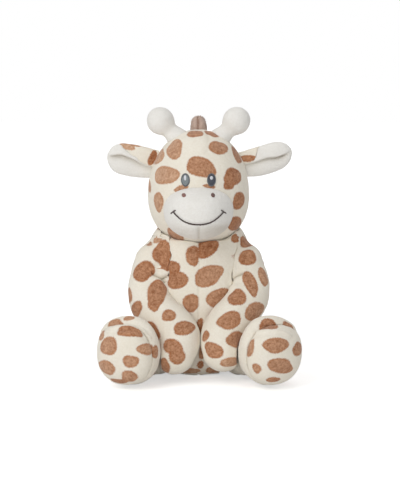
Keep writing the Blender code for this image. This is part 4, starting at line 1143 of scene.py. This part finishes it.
ARM_SPOTS = {
    "right": ((143.1, 271.4, 11.2, 9.4, 20, .85), (162.4, 251.6, 12.0, 8.4, 74, .9),
              (165.0, 262.6, 8.4, 5.0, -46, .9), (168.6, 267.5, 4.6, 3.6, 0, .9),
              (157.3, 292.5, 11.6, 9.8, 75, .8), (154.0, 304.0, 7.0, 6.0, 75, .8),
              (135.6, 310.4, 9.0, 4.6, 75, .8),
              (168.8, 315.3, 6.6, 5.8, 0, .7), (185.0, 327.7, 11.4, 6.4, 8, .8),
              (173.0, 347.4, 10.6, 7.6, -36, .75), (177.0, 356.2, 8.4, 7.8, -50, .75),
              (164.4, 366.7, 7.4, 4.0, -68, .75), (152.4, 332.1, 10.5, 5.4, -60, .9),
              (157.3, 239.4, 4.6, 3.0, 20, .2), (149.2, 244.2, 2.8, 1.8, 20, .7),
              (129.4, 295.5, 7.5, 2.0, 92, .8)),
    "left": ((247.8, 257.4, 9.0, 7.8, 0, .85), (246.2, 242.8, 7.0, 4.2, -42, .85),
             (250.6, 283.7, 12.6, 6.0, -68, .7), (263.6, 276.8, 9.4, 4.2, -76, .5),
             (236.8, 296.9, 9.0, 7.4, 25, .85),
             (229.4, 320.2, 12.6, 8.2, 16, .75), (255.5, 311.3, 10.2, 8.0, 45, .5),
             (236.6, 339.8, 8.4, 7.8, 30, .6), (213.0, 350.2, 9.8, 7.2, -38, .75),
             (230.6, 362.6, 9.2, 4.4, 14, .3), (205.2, 336.0, 5.6, 2.6, 75, .8))}
FOOT_SPOTS = {
    "right": ((108.0, 345.9, 9.4, 8.0, 80, .5), (147.0, 349.0, 9.0, 5.4, 4, .5),
              (130.6, 361.6, 7.6, 6.0, -8, .55), (105.7, 367.7, 9.2, 5.8, -38, .45),
              (129.4, 376.9, 8.2, 5.0, -10, .5), (129.8, 331.2, 13.5, 3.8, -6, .85),
              (115.2, 323.7, 6.8, 4.2, 20, .5), (155.8, 352.0, 6.2, 2.8, 85, .7),
              (119.0, 381.4, 9.0, 1.8, -4, .8), (101.0, 335.0, 5.0, 2.6, 70, .5),
              (129.0, 318.0, 5.5, 1.8, 5, .4)),
    "left": ((276.5, 345.1, 13.4, 7.2, 2, .65), (281.0, 366.2, 12.6, 7.2, -6, .6),
             (268.8, 326.2, 9.0, 4.8, 18, .8), (288.2, 326.0, 5.6, 3.8, -38, .7),
             (298.4, 349.0, 6.8, 4.8, 80, .7), (250.0, 348.2, 8.4, 3.0, 82, .5),
             (256.4, 368.7, 5.2, 3.6, -60, .5), (273.4, 380.0, 7.4, 2.2, 0, .8))}
EAR_SPOTS = {"right": ((126.4, 145.6, 8.8, 3.0, -12, 0), (152.6, 157.8, 7.6, 3.6, 64, 1)),
             "left": ((247.8, 158.4, 8.4, 3.0, 4, .85),)}
print("spots", len(HEAD_SPOTS) + len(TORSO_SPOTS), "on head and body")

# %% Laying spots on the cloth
# The most that a spot is drawn out on slanting cloth, what is added to its half length and
# width, and a thrown spot's room beside what the lens sees, as a share of its size. Then the
# depth that stands for no spot, how many places are tried, which share of the view's points is
# looked at (one in so many), and the room between two spots. EDGE_WAVES gives how often each
# wave goes round a spot's edge, and its height as a share.
FLATTEST, SPREAD, EDGE_ROOM = 2.4, 0.3 * MM, 0.8
FAR_OUTSIDE, THROWS, VIEW_STEP, SPOT_ROOM = -20 * MM, 6000, 5, 3.2 * MM
EDGE_WAVES = ((2, 0.04), (3, 0.05), (4, 0.025), (5, 0.015))


def tree_of(piece):
    return BVHTree.FromObject(piece, bpy.context.evaluated_depsgraph_get())


def spot_frame(direction, normal, tilt):
    """The two directions on the cloth that look, from the lens, along and across the tilt."""
    flat_x = np.cross(direction, above)
    flat_y = np.cross(flat_x, direction)
    c, s = math.cos(math.radians(tilt)), math.sin(math.radians(tilt))
    ways = []
    for way in (flat_x * c + flat_y * s, flat_y * c - flat_x * s):
        way = way - direction * (way @ normal) / min(direction @ normal, -1e-3)
        ways.append(way * min(1, FLATTEST / np.linalg.norm(way)))
    return np.array(ways)


def inside_spot(points, centre, normal, ways, half_length, half_width, draw):
    """How far each point lies inside the spot's edge. The point is laid flat on the cloth at the
    centre, at its true distance; the edge is an oval whose radius waves a little."""
    offset = points - centre
    far = np.linalg.norm(offset, axis=1)
    flat = offset - np.outer(offset @ normal, normal)
    flat *= (far / np.maximum(np.linalg.norm(flat, axis=1), 1e-9))[:, None]
    u, v = np.linalg.pinv(ways.T) @ flat.T
    bearing = np.arctan2(v / half_width, u / half_length)
    wave = 1 + sum(a * np.sin(n * bearing + draw.uniform(0, 2 * np.pi)) for n, a in EDGE_WAVES)
    share = np.maximum(np.hypot(u / half_length, v / half_width) / wave, 1e-3)
    return far * (1 / share - 1)


def print_cloth(pieces, spots, seed, hidden=None):
    """Writes the print on a set of pieces that share one pattern: the spots that show, then more
    where the lens can't see, thrown at random with room between them."""
    draw = np.random.default_rng(seed)
    whole = np.vstack([points_of(p) for p in pieces])
    facing = np.vstack([normals_of(p) for p in pieces])
    depth, tone = np.full(len(whole), FAR_OUTSIDE), np.full(len(whole), 0.6)
    trees = [tree_of(p) for p in pieces]

    def add_spot(centre, normal, ways, long, wide, shade, seam_side=0):
        level = inside_spot(whole, centre, normal, ways, long, wide, draw)
        level = np.where(facing @ normal < -0.3, FAR_OUTSIDE, level)
        if seam_side:
            level = np.minimum(level, seam_side * whole[:, 0])
        nearer = level > depth
        depth[nearer], tone[nearer] = level[nearer], shade

    for px, py, long, wide, tilt, shade, *seam_side in spots:
        line = sight_line(px, py)
        hits = [h for h in (t.ray_cast(Vector(eye_place), Vector(line)) for t in trees) if h[0]]
        if hits:
            place, normal = min(hits, key=lambda h: h[3])[:2]
        else:
            guess = Vector(eye_place + line * DISTANCE)
            place, normal = min((t.find_nearest(guess) for t in trees), key=lambda h: h[3])[:2]
        scale = float((np.array(place) - eye_place) @ ahead) / PIXELS
        add_spot(np.array(place), np.array(normal), spot_frame(line, np.array(normal), tilt),
                 long * scale + SPREAD, wide * scale + SPREAD, shade, *seam_side)
    shown = len(spots)
    open_to_lens = facing @ ahead < -0.12 if hidden is None else ~hidden(whole, facing)
    in_view = np.full((1, 3), DISTANCE)
    if spots and hidden is None:
        in_view = whole[open_to_lens][::VIEW_STEP]
    for k in draw.permutation(len(whole))[:THROWS]:
        if open_to_lens[k]:
            continue
        size = draw.uniform(7.0, 9.8) * MM
        if depth[k] > -size - SPOT_ROOM:
            continue
        if np.min(np.sum((in_view - whole[k]) ** 2, axis=1)) > (EDGE_ROOM * size) ** 2:
            turn = draw.uniform(0, np.pi)
            side = np.cross(facing[k], X if abs(facing[k, 0]) < 0.8 else Y)
            side /= np.linalg.norm(side)
            other = np.cross(facing[k], side)
            ways = np.array((side * np.cos(turn) + other * np.sin(turn),
                             other * np.cos(turn) - side * np.sin(turn)))
            add_spot(whole[k], facing[k], ways, size, size * draw.uniform(0.62, 0.85),
                     draw.uniform(0.4, 0.9))
            shown += 1
    start = 0
    for piece in pieces:
        end = start + len(piece.data.vertices)
        write_attribute(piece, "spot", depth[start:end] / MM)
        write_attribute(piece, "tone", tone[start:end])
        start = end
    print(pieces[0].name, shown, "spots")


HEAD_SEED, TORSO_SEED, ARM_SEED, LEG_SEED, EAR_SEED, TAIL_SEED = 101, 102, 110, 120, 130, 140
print_cloth([head], HEAD_SPOTS, HEAD_SEED)
print_cloth([torso], TORSO_SPOTS, TORSO_SEED)
for k, side in enumerate(SIDES):
    print_cloth([arms[side]], ARM_SPOTS[side], ARM_SEED + k)
    print_cloth([legs[side], soles[side]], FOOT_SPOTS[side], LEG_SEED + k)
    print_cloth([ears[side, False]], EAR_SPOTS[side], EAR_SEED + k,
                hidden=lambda points, facing: facing @ ahead > 0.35)
    # Painted shade: the lining is darkened in its crease.
    write_attribute(ears[side, True], "seam", 1.7 * crease_shade(ears[side, True], side))
print_cloth([tail], (), TAIL_SEED)

# %% [markdown]
# ## The pile cloth
# Short pile scatters light at its tips, so it looks velvety: matt, a little brighter where it
# turns away, and mottled where the pile lies in different ways. The same recipe, with and without
# the print, serves the cream and the white cloth. It reads the print from the stored distance.

# %% Plush finish
def srgb(*code):
    """Linear colour of a colour as it is written for a screen, from 0 to 255."""
    value = np.array(code) / 255
    return (*np.where(value < 0.04045, value / 12.92, ((value + 0.055) / 1.055) ** 2.4), 1.0)


PILE_SHEEN, PILE_BUMP, CRUSHED_SHARE = 0.3, 0.00035, 1.4


def pile_surface(tree, shader, place, colour):
    """The colour, a bump of the pile's tips over softer crushed patches, and the tips' sheen."""
    tips = noise(tree, place, 0.0011, 3.0, 0.6)
    patches = noise(tree, place, 0.006, 2.0)
    height = added(tree, tips, product(tree, patches, CRUSHED_SHARE))
    lifted = add_node(tree, "ShaderNodeBump", {"Strength": 0.55, "Distance": PILE_BUMP,
                      "Height": height})
    feed(tree, shader, {"Base Color": colour, "Normal": lifted.outputs[0], "Roughness": 0.92,
                        "Specular IOR Level": 0.12, "Sheen Weight": PILE_SHEEN,
                        "Sheen Roughness": 0.45})


def stored(tree, name):
    return add_node(tree, "ShaderNodeAttribute", attribute_name=name).outputs["Fac"]


def plush_finish(name, light, shaded, printed):
    """Pile cloth in a ground colour and its shaded twin, with the brown print if it has one. The
    print's pile is mottled finely where tips lie in different ways, and warmer along its edge."""
    made, tree, shader, place = new_finish(name)
    nap = mottled(tree, place, 0.0017, 0.36, roughness=0.65)
    lie = mottled(tree, place, 0.018, 0.3, 2.0, 0.5)
    ground = mixed(tree, product(tree, nap, 0.4), light, shaded)
    ground = mixed(tree, product(tree, lie, 0.3), ground, shaded)
    if printed:
        tone, inside = stored(tree, "tone"), stored(tree, "spot")
        pale = mixed(tree, tone, srgb(226, 192, 164), srgb(204, 150, 112))
        deep = mixed(tree, tone, srgb(180, 132, 98), srgb(132, 74, 42))
        patch = mottled(tree, place, 0.0036, 0.34)
        share = added(tree, product(tree, nap, 0.45), product(tree, patch, 0.55))
        brown = mixed(tree, share, pale, deep)
        rim = spread(tree, inside, 0.4, 2.6, 0.6, 0.0)
        brown = mixed(tree, rim, brown, mixed(tree, tone, srgb(194, 138, 98), srgb(166, 100, 58)))
        fuzz = calculated(tree, "SUBTRACT", noise(tree, place, 0.0011, 2.0, 0.6), 0.5)
        edge = added(tree, inside, product(tree, fuzz, 2.6))
        ground = mixed(tree, spread(tree, edge, -0.75, 0.55), ground, brown)
    # Painted shade: the stored seam value darkens the cloth, and warms it, in the seams, creases
    # and folds and under the muzzle.
    shade = spread(tree, stored(tree, "seam"), 0.0, 2.0, 1.0, 0.56)
    ground = mixed(tree, 1.0, ground, add_node(tree, "ShaderNodeCombineColor",
                   {0: shade, 1: calculated(tree, "POWER", shade, 1.12),
                    2: calculated(tree, "POWER", shade, 1.3)}).outputs[0], "MULTIPLY")
    pile_surface(tree, shader, place, ground)
    return made


printed_plush = plush_finish("cream_pile_printed", srgb(245, 239, 226), srgb(232, 222, 203), True)
white_plush = plush_finish("white_pile_plain", srgb(243, 241, 236), srgb(230, 226, 218), False)
print("finishes", printed_plush.name, white_plush.name)

# %% Long pile, thread, wadding and pouch cloth
def long_pile_finish(name):
    """Grey-brown locks, darker at the root and paler at the tip, each a little different."""
    made, tree, shader, place = new_finish(name)
    mottle = mottled(tree, place, 0.0016, 0.25)
    tip = mixed(tree, mottle, srgb(226, 206, 194), srgb(196, 170, 154))
    root = mixed(tree, mottle, srgb(170, 136, 118), srgb(120, 88, 72))
    share = spread(tree, added(tree, stored(tree, "tip"), product(tree, mottle, 0.25)), 0.15, 1.0)
    pile_surface(tree, shader, place, mixed(tree, share, root, tip))
    return made


def ridged_surface(tree, shader, colour, height, strength, distance, roughness, sheen=0.0):
    """The colour over a bump of threads or fibres."""
    lifted = add_node(tree, "ShaderNodeBump", {"Strength": strength, "Distance": distance,
                      "Height": height})
    feed(tree, shader, {"Base Color": colour, "Normal": lifted.outputs[0], "Roughness": roughness,
                        "Sheen Weight": sheen})


def thread_finish(name, light, dark, pitch):
    """Glossy thread laid side by side: stripes in the stored distance across the stitches."""
    made, tree, shader, place = new_finish(name)
    wobble = product(tree, noise(tree, place, 0.0018, 2.0), 0.5)
    lay = added(tree, calculated(tree, "DIVIDE", stored(tree, "lay"), pitch), wobble)
    wave = calculated(tree, "SINE", product(tree, lay, 2 * math.pi), 0.0)
    ridge = spread(tree, wave, -1.0, 1.0)
    speck = mottled(tree, place, 0.0007, 0.25)
    share = product(tree, ridge, added(tree, speck, 0.3))
    ridged_surface(tree, shader, mixed(tree, share, dark, light), ridge, 0.8, 0.00018, 0.42, 0.15)
    return made


def fibre_finish(name, light, dark, size):
    """Loose white fibres or plain woven cloth: two crossed waves and noise."""
    made, tree, shader, place = new_finish(name)
    waves = [add_node(tree, "ShaderNodeTexWave", {
        "Vector": place, "Scale": 1 / size, "Distortion": 2.5, "Detail": 2.0},
        bands_direction=way).outputs["Fac"] for way in ("X", "Z")]
    weave = product(tree, waves[0], waves[1])
    share = product(tree, weave, noise(tree, place, size * 3, 3.0))
    ridged_surface(tree, shader, mixed(tree, share, dark, light), weave, 0.6, 0.0004, 1.0)
    return made


long_pile = long_pile_finish("brown_pile_long")
# Each thread's colour where it catches the light, its colour between the threads, and its pitch
# in millimetres.
THREADS = {"slate": ((88, 92, 102), (52, 55, 64), 0.45),
           # The slate thread again, painted lighter as painted sheen, for the right eye.
           "slate_painted_sheen": ((172, 180, 182), (104, 112, 116), 0.45),
           "rim": ((122, 126, 132), (74, 78, 84), 0.5),
           "white": ((252, 252, 255), (214, 216, 224), 0.4),
           "brown": ((80, 45, 34), (38, 19, 14), 0.5),
           "nostril_dark": ((112, 66, 56), (72, 38, 32), 0.4),
           "nostril": ((156, 108, 96), (108, 66, 56), 0.4)}
threads = {name: thread_finish(f"thread_{name}", srgb(*light), srgb(*dark), pitch)
           for name, (light, dark, pitch) in THREADS.items()}
wadding = fibre_finish("wadding_fibres", srgb(246, 246, 244), srgb(222, 222, 218), 0.002)
pouch_cloth = fibre_finish("pouch_weave", srgb(206, 202, 192), srgb(150, 146, 136), 0.0006)
print("finishes", len(bpy.data.materials))

# %% [markdown]
# ## The embroidered face
# Eyes, nostrils and smile are machine stitches, so each is a low padded oval or a row of short
# stitches that lies on the pile and follows it. The surface below is found by looking straight
# at the face from the front.

# %% Padded ovals of stitches
head_tree, muzzle_tree = tree_of(head), tree_of(muzzle)


def on_face(tree, x, z):
    """The places and outward directions on the face at each x and z, seen from the front."""
    rays = np.stack([part.ravel() for part in np.broadcast_arrays(x, z)], -1)
    found = [tree.ray_cast(Vector((a, -0.2, b)), Vector(Y))[:2] for a, b in rays]
    return np.array([f[0] for f in found], float), np.array([f[1] for f in found], float)


def stitched_oval(name, tree, x, z, half_width, half_height, relief, finish, thread=0.45 * MM,
                  inner=0.0, upright=False, tilt=0.0, steps=30, sides=96):
    """A dome of side-by-side threads: height relief times (1 - share^4)^(1/2), with a ridge for
    each thread. With an inner share it is a ring, whose threads run across it."""
    share = np.linspace(inner, 1, steps) if inner else np.linspace(0, 1, steps)[1:]
    angle = np.linspace(0, 2 * np.pi, sides, endpoint=False)
    dx = half_width * share[:, None] * np.cos(angle)
    dz = half_height * share[:, None] * np.sin(angle)
    px = x + dx * math.cos(tilt) - dz * math.sin(tilt)
    pz = z + dx * math.sin(tilt) + dz * math.cos(tilt)
    base, normal = on_face(tree, px, pz)
    smooth = normal.mean(0) / np.linalg.norm(normal.mean(0))
    normal = unit(normal * 0.3 + smooth * 0.7).reshape(*px.shape, 3)
    base = base.reshape(*px.shape, 3)
    if inner:
        lay = angle * (half_width + half_height) / 2 + 0 * share[:, None]
        middle = (share - inner) / (1 - inner) * 2 - 1
    else:
        lay, middle = (dx if upright else dz), share
    dome = np.sqrt(np.clip(1 - np.abs(middle) ** 4, 0, 1))[:, None]
    ridge = 0.09 * MM * np.abs(np.sin(np.pi * lay / thread)) * dome
    top = base + normal * (relief * (0.25 + 0.75 * dome) + ridge)[..., None]
    bottom = base - normal * 0.5 * MM
    rings = np.concatenate([top, bottom[::-1]])
    lays = np.concatenate([lay, lay[::-1]]).ravel()
    if inner:
        k, last = np.arange(sides), (len(rings) - 1) * sides
        closing = np.stack([k + last, (k + 1) % sides + last, (k + 1) % sides, k], -1)
        piece = add_piece(name, rings.reshape(-1, 3),
                          np.vstack([ring_faces(len(rings), sides), closing]).tolist())
    else:
        centre = on_face(tree, np.array([x]), np.array([z]))[0][0]
        piece = closed_form(name, rings, centre + smooth * (relief + 0.02 * MM),
                            centre - smooth * 0.5 * MM)
        lays = np.append(lays, (0, 0))
    write_attribute(piece, "lay", lays / MM)
    piece.data.materials.append(finish)
    return piece


EYE_OUT, EYE_RISE, GLINT_RISE = 11.6 * MM, HEAD_CENTRE[2] + 20.4 * MM, 1.7 * MM
NOSTRIL_OUT, NOSTRIL_RISE = 12.9 * MM, MUZZLE_BACK[2] + 16.4 * MM
# The glint's half width and height, the nostril's tilt, and the threads of eye and nostril.
FACE = {"left": (1.5 * MM, 1.75 * MM, math.radians(-38), "slate", "nostril_dark"),
        "right": (1.15 * MM, 2.5 * MM, math.radians(12), "slate_painted_sheen", "nostril")}
face_pieces = {}
for side, (width, height, turn, eye_thread, nostril_thread) in FACE.items():
    x = SIDES[side] * EYE_OUT
    face_pieces[f"eye_{side}"] = stitched_oval(
        f"eye_{side}_stitches", head_tree, x, EYE_RISE, 3.3 * MM, 5.2 * MM, 0.75 * MM,
        threads[eye_thread])
    face_pieces[f"eye_rim_{side}"] = stitched_oval(
        f"eye_rim_{side}", head_tree, x, EYE_RISE, 3.95 * MM, 5.85 * MM, 0.95 * MM,
        threads["rim"], inner=0.8)
    face_pieces[f"eye_glint_{side}"] = stitched_oval(
        f"eye_glint_{side}_stitches", head_tree, x - 0.1 * MM, EYE_RISE + GLINT_RISE, width,
        height, 1.3 * MM, threads["white"], upright=True, thread=0.4 * MM, steps=16, sides=64)
    face_pieces[f"nostril_{side}"] = stitched_oval(
        f"nostril_{side}_stitches", muzzle_tree, SIDES[side] * NOSTRIL_OUT, NOSTRIL_RISE,
        1.95 * MM, 1.45 * MM, 0.7 * MM, threads[nostril_thread], tilt=turn, steps=16, sides=64)
print("face", sorted(face_pieces))

# %% The smile
STITCH_STEP, STITCH_HALF, STITCH_RADIUS = 2.5 * MM, 1.75 * MM, 0.62 * MM


def stitch_row(x, z, draw):
    """Places evenly spaced by STITCH_STEP along a line on the muzzle, and their directions."""
    length = np.append(0, np.cumsum(np.hypot(np.diff(x), np.diff(z))))
    count = max(int(round(length[-1] / STITCH_STEP)), 2)
    at = (np.arange(count) + 0.5) / count * length[-1]
    bend = math.atan2(STITCH_RADIUS, STITCH_HALF) * 0.25
    half = STITCH_HALF * draw.uniform(0.9, 1.12, count)
    ends = []
    for way in (-1, 1):
        reach = np.clip(at + way * half, 0, length[-1])
        ends.append((np.interp(reach, length, x), np.interp(reach, length, z)))
    turn = bend * draw.normal(0, 1, count)
    (x0, z0), (x1, z1) = ends
    shift_x, shift_z = -(z1 - z0) * turn, (x1 - x0) * turn
    return x0 - shift_x / 2, z0 - shift_z / 2, x1 + shift_x / 2, z1 + shift_z / 2


def tubes(name, centres, side, other, thick, sides, finish, flatness=1.0):
    """Many thin closed tubes in one piece: each point is its centre, plus side times thick times
    the cosine, plus other times flatness times thick times the sine, round the ring's angle."""
    angle = np.linspace(0, 2 * np.pi, sides, endpoint=False)
    points = (centres[:, :, None]
              + side[:, None, None] * (thick[..., None] * np.cos(angle))[..., None]
              + other[:, None, None] * (flatness * thick[..., None] * np.sin(angle))[..., None])
    count, rings = points.shape[:2]
    k = np.arange(sides)
    caps, shift = np.array((k[::-1], k + (rings - 1) * sides)), np.arange(count) * rings * sides
    faces = [face for part in (ring_faces(rings, sides), caps)
             for face in (part + shift[:, None, None]).reshape(-1, part.shape[1]).tolist()]
    piece = add_piece(name, points.reshape(-1, 3), faces)
    piece.data.materials.append(finish)
    return piece, angle


def stitches(name, rows, finish):
    """Short plump threads: rings square to each stitch whose radius is a capsule's,
    (1 - place^6)^(1/2), and which arches a little between its two holes."""
    x0, z0, x1, z1 = (np.concatenate(part) for part in zip(*rows))
    start, way = on_face(muzzle_tree, x0, z0)
    end, way_end = on_face(muzzle_tree, x1, z1)
    normal, along = unit(way + way_end), end - start
    side = unit(np.cross(normal, along))
    place = np.linspace(-1, 1, 9)
    thick = STITCH_RADIUS * np.sqrt(1 - np.abs(place * 0.985) ** 6)
    arch = STITCH_RADIUS * (0.45 + 0.35 * (1 - place ** 2))
    centres = ((start + end)[:, None] / 2 + along[:, None] * place[:, None] / 2
               + normal[:, None] * arch[:, None])
    piece, angle = tubes(name, centres, side, normal, thick, 10, finish, 0.85)
    lay = place[:, None] * STITCH_HALF * 2.2 + angle * STITCH_RADIUS * 0.5
    write_attribute(piece, "lay", np.tile(lay.ravel(), len(centres)) / MM)
    return piece


TICK_HALF, TICK_SLOPE, SMILE_SEED = 3.0 * MM, math.radians(40), 7
draw = np.random.default_rng(SMILE_SEED)
share = np.linspace(-1, 1, 200)
rows = [stitch_row(share * MOUTH_HALF_WIDTH, MUZZLE_BACK[2] + smile_height(share), draw)]
for sign in (-1, 1):
    tick = np.linspace(-1, 1, 20) * TICK_HALF
    rows.append(stitch_row(sign * (MOUTH_HALF_WIDTH + tick * math.cos(TICK_SLOPE)),
                           MUZZLE_BACK[2] + MOUTH_CORNER - tick * math.sin(TICK_SLOPE), draw))
smile_piece = stitches("mouth_stitches", rows, threads["brown"])
print("smile", len(smile_piece.data.polygons), "faces")

# %% [markdown]
# ## Locks of long pile
# The mane and the tail's tuft are brushed from locks: thin cones of a few faces that start on
# the core, lean along the comb's direction and fade from dark roots to pale tips.

# %% Locks on a core
def scatter(piece, count, draw, keep=None):
    """Random places spread evenly over the mesh: a triangle drawn by its area, then a point in
    it, as the mean of its corners by shares that add up to one."""
    mesh = piece.data
    mesh.calc_loop_triangles()
    corners = np.empty(len(mesh.loop_triangles) * 3, int)
    mesh.loop_triangles.foreach_get("vertices", corners)
    corners = corners.reshape(-1, 3)
    points, normals = points_of(piece), normals_of(piece)
    a, b, c = (points[corners[:, k]] for k in range(3))
    area = np.linalg.norm(np.cross(b - a, c - a), axis=1)
    if keep is not None:
        area = area * keep((a + b + c) / 3)
    chosen = draw.choice(len(corners), count, p=area / area.sum())
    u, v = draw.uniform(size=(2, count))
    u, v = np.where(u + v > 1, 1 - u, u), np.where(u + v > 1, 1 - v, v)
    shares = np.stack([1 - u - v, u, v], -1)
    picked = corners[chosen]
    spot = np.einsum("ij,ijk->ik", shares, points[picked])
    way = np.einsum("ij,ijk->ik", shares, normals[picked])
    return spot, unit(way)


def locks(name, roots, ways, bends, lengths, radius, finish, shade, rings=4, sides=3):
    """Thin cones: a point is the root, plus the way times length times t, plus the bend times
    length times t^2, and round that a triangle of radius (1 - t)^0.7 times radius."""
    t = np.linspace(0, 0.97, rings)
    centres = (roots[:, None] + ways[:, None] * (lengths[:, None] * t)[..., None]
               + bends[:, None] * (lengths[:, None] * t ** 2)[..., None])
    side = unit(np.cross(ways, np.where(np.abs(ways[:, :1]) < 0.8, X, Z)))
    thick = radius[:, None] * (1 - t) ** 0.7
    piece, _ = tubes(name, centres, side, np.cross(ways, side), thick, sides, finish)
    write_attribute(piece, "tip", (shade[:, None] + 0.4 * np.repeat(t, sides)).ravel())
    return piece


# %% Locks of the mane and the tail
def parting(points):
    """How much darker the pile is along the mane's crooked middle line."""
    sway = 0.8 * MM * (1 + ripple(points, 11 * MM, SEEDS["parting"]))
    return 0.62 * dip(points[:, 0] + sway, 1.1 * MM)


def clear_of_head(points):
    """Which points lie outside the head's outline."""
    return head_reach(points[:, 2] - HEAD_CENTRE[2]) < (
        np.hypot(points[:, 0], points[:, 1]) + 0.2 * MM)


LOCK_SEED, MANE_LOCKS, TUFT_LOCKS, ROOT_SINK = 301, 5200, 3200, 0.4
draw = np.random.default_rng(LOCK_SEED)
roots, ways = scatter(mane, MANE_LOCKS, draw, keep=clear_of_head)
lean = unit(ways + 0.35 * draw.normal(size=ways.shape) + 0.25 * Y - 0.1 * Z)
lengths = draw.uniform(1.2, 2.2, len(roots)) * MM
bends = 0.5 * (Y * 0.6 - Z * 0.5) + 0 * ways
mane_pile = locks("mane_pile", roots - ways * ROOT_SINK * MM, lean, bends, lengths,
                  draw.uniform(0.22, 0.36, len(roots)) * MM, long_pile,
                  draw.uniform(0.6, 0.95, len(roots)) - parting(roots))
roots, ways = scatter(tuft, TUFT_LOCKS, draw)
lean = unit(0.55 * ways + tail_along + 0.22 * draw.normal(size=ways.shape))
tuft_pile = locks("tail_tuft_pile", roots - ways * ROOT_SINK * MM, lean, 0.25 * ways,
                  draw.uniform(2.5, 6.0, len(roots)) * MM, draw.uniform(0.24, 0.4, len(roots)) * MM,
                  long_pile, draw.uniform(0.0, 0.4, len(roots)))
write_attribute(mane, "tip", 0.7 - parting(points_of(mane)))
write_attribute(tuft, "tip", np.full(len(tuft.data.vertices), 0.3))
print("locks", len(mane_pile.data.polygons), len(tuft_pile.data.polygons))

# %% [markdown]
# ## Hanging the pieces on the bodies
# Each cover takes its finish and hides the imported nodes it stands for. Most ride on the body
# they move with; the arms, ears and tail are baked where they stand and ride on no body.

# %% Names, finishes and bodies
def dress(piece, name, body, nodes=(), finish=None, bend=None):
    """Names and finishes a piece, replaces nodes, and rides on a body; given a bend, it is baked
    where it stands and rides on no body.
    """
    piece.name = piece.data.name = name
    if finish:
        piece.data.materials.clear()
        piece.data.materials.append(finish)
    if nodes:
        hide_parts(*nodes)
    if bend:
        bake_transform(piece)
    else:
        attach(piece, body)
    return piece


dress(torso, "torso_cover", "torso", ("torso_skin", "torso_filling"),
      printed_plush)
dress(pouch, "seat_pouch", "torso", ("bean_pouch",), pouch_cloth)
dress(neck, "neck_wadding_plug", "neck", ("neck_filling",), wadding)
dress(head, "head_cover", "head", ("head_skin", "head_filling"), printed_plush)
dress(muzzle, "muzzle_cover", "head", ("muzzle_skin", "muzzle_filling"),
      white_plush)
dress(mane, "mane_core", "head", ("mane",), long_pile)
dress(mane_pile, "mane_pile", "head")
dress(smile_piece, "mouth_stitches", "head", ("mouth",))
for side in SIDES:
    dress(horns[side], f"horn_cover_{side}", "head",
          (f"horn_skin_{side}", f"horn_filling_{side}"), white_plush)
    bend = ("torso", SHOULDER[side] + (0, -2 * MM, -4 * MM),
            SHOULDER[side] + (0, -13 * MM, -33 * MM))
    dress(arms[side], f"arm_cover_{side}", f"arm_{side}",
          (f"arm_skin_{side}", f"arm_filling_{side}"), printed_plush, bend)
    dress(legs[side], f"leg_cover_{side}", f"leg_{side}",
          (f"leg_skin_{side}", f"leg_filling_{side}"), printed_plush)
    dress(soles[side], f"sole_cover_{side}", f"leg_{side}", (f"sole_{side}",),
          printed_plush)
    root, out, _ = ear_frame(side)
    bend = ("head", root + out * EAR_START, root + out * (EAR_START + 9 * MM))
    dress(ears[side, False], f"ear_printed_{side}", f"ear_{side}",
          (f"ear_outside_{side}",), printed_plush, bend)
    dress(ears[side, True], f"ear_plain_{side}", f"ear_{side}",
          (f"ear_lining_{side}",), white_plush, bend)
    for part, slot in (("eye", "grey_thread"), ("eye_glint", "white_thread"),
                       ("nostril", "brown_thread")):
        piece = face_pieces[f"{part}_{side}"]
        dress(piece, piece.name, "head", (f"{part}_{side}",))
    dress(face_pieces[f"eye_rim_{side}"], f"eye_rim_{side}", "head")
bend = ("torso", TAIL_ROOT - tail_along * 2 * MM, TAIL_ROOT + tail_along * 6 * MM)
dress(tail, "tail_cover", "tail", ("tail",), printed_plush, bend)
dress(tuft, "tail_tuft_core", "tail", ("tail_tuft",), long_pile)
dress(tuft_pile, "tail_tuft_pile", "tail")
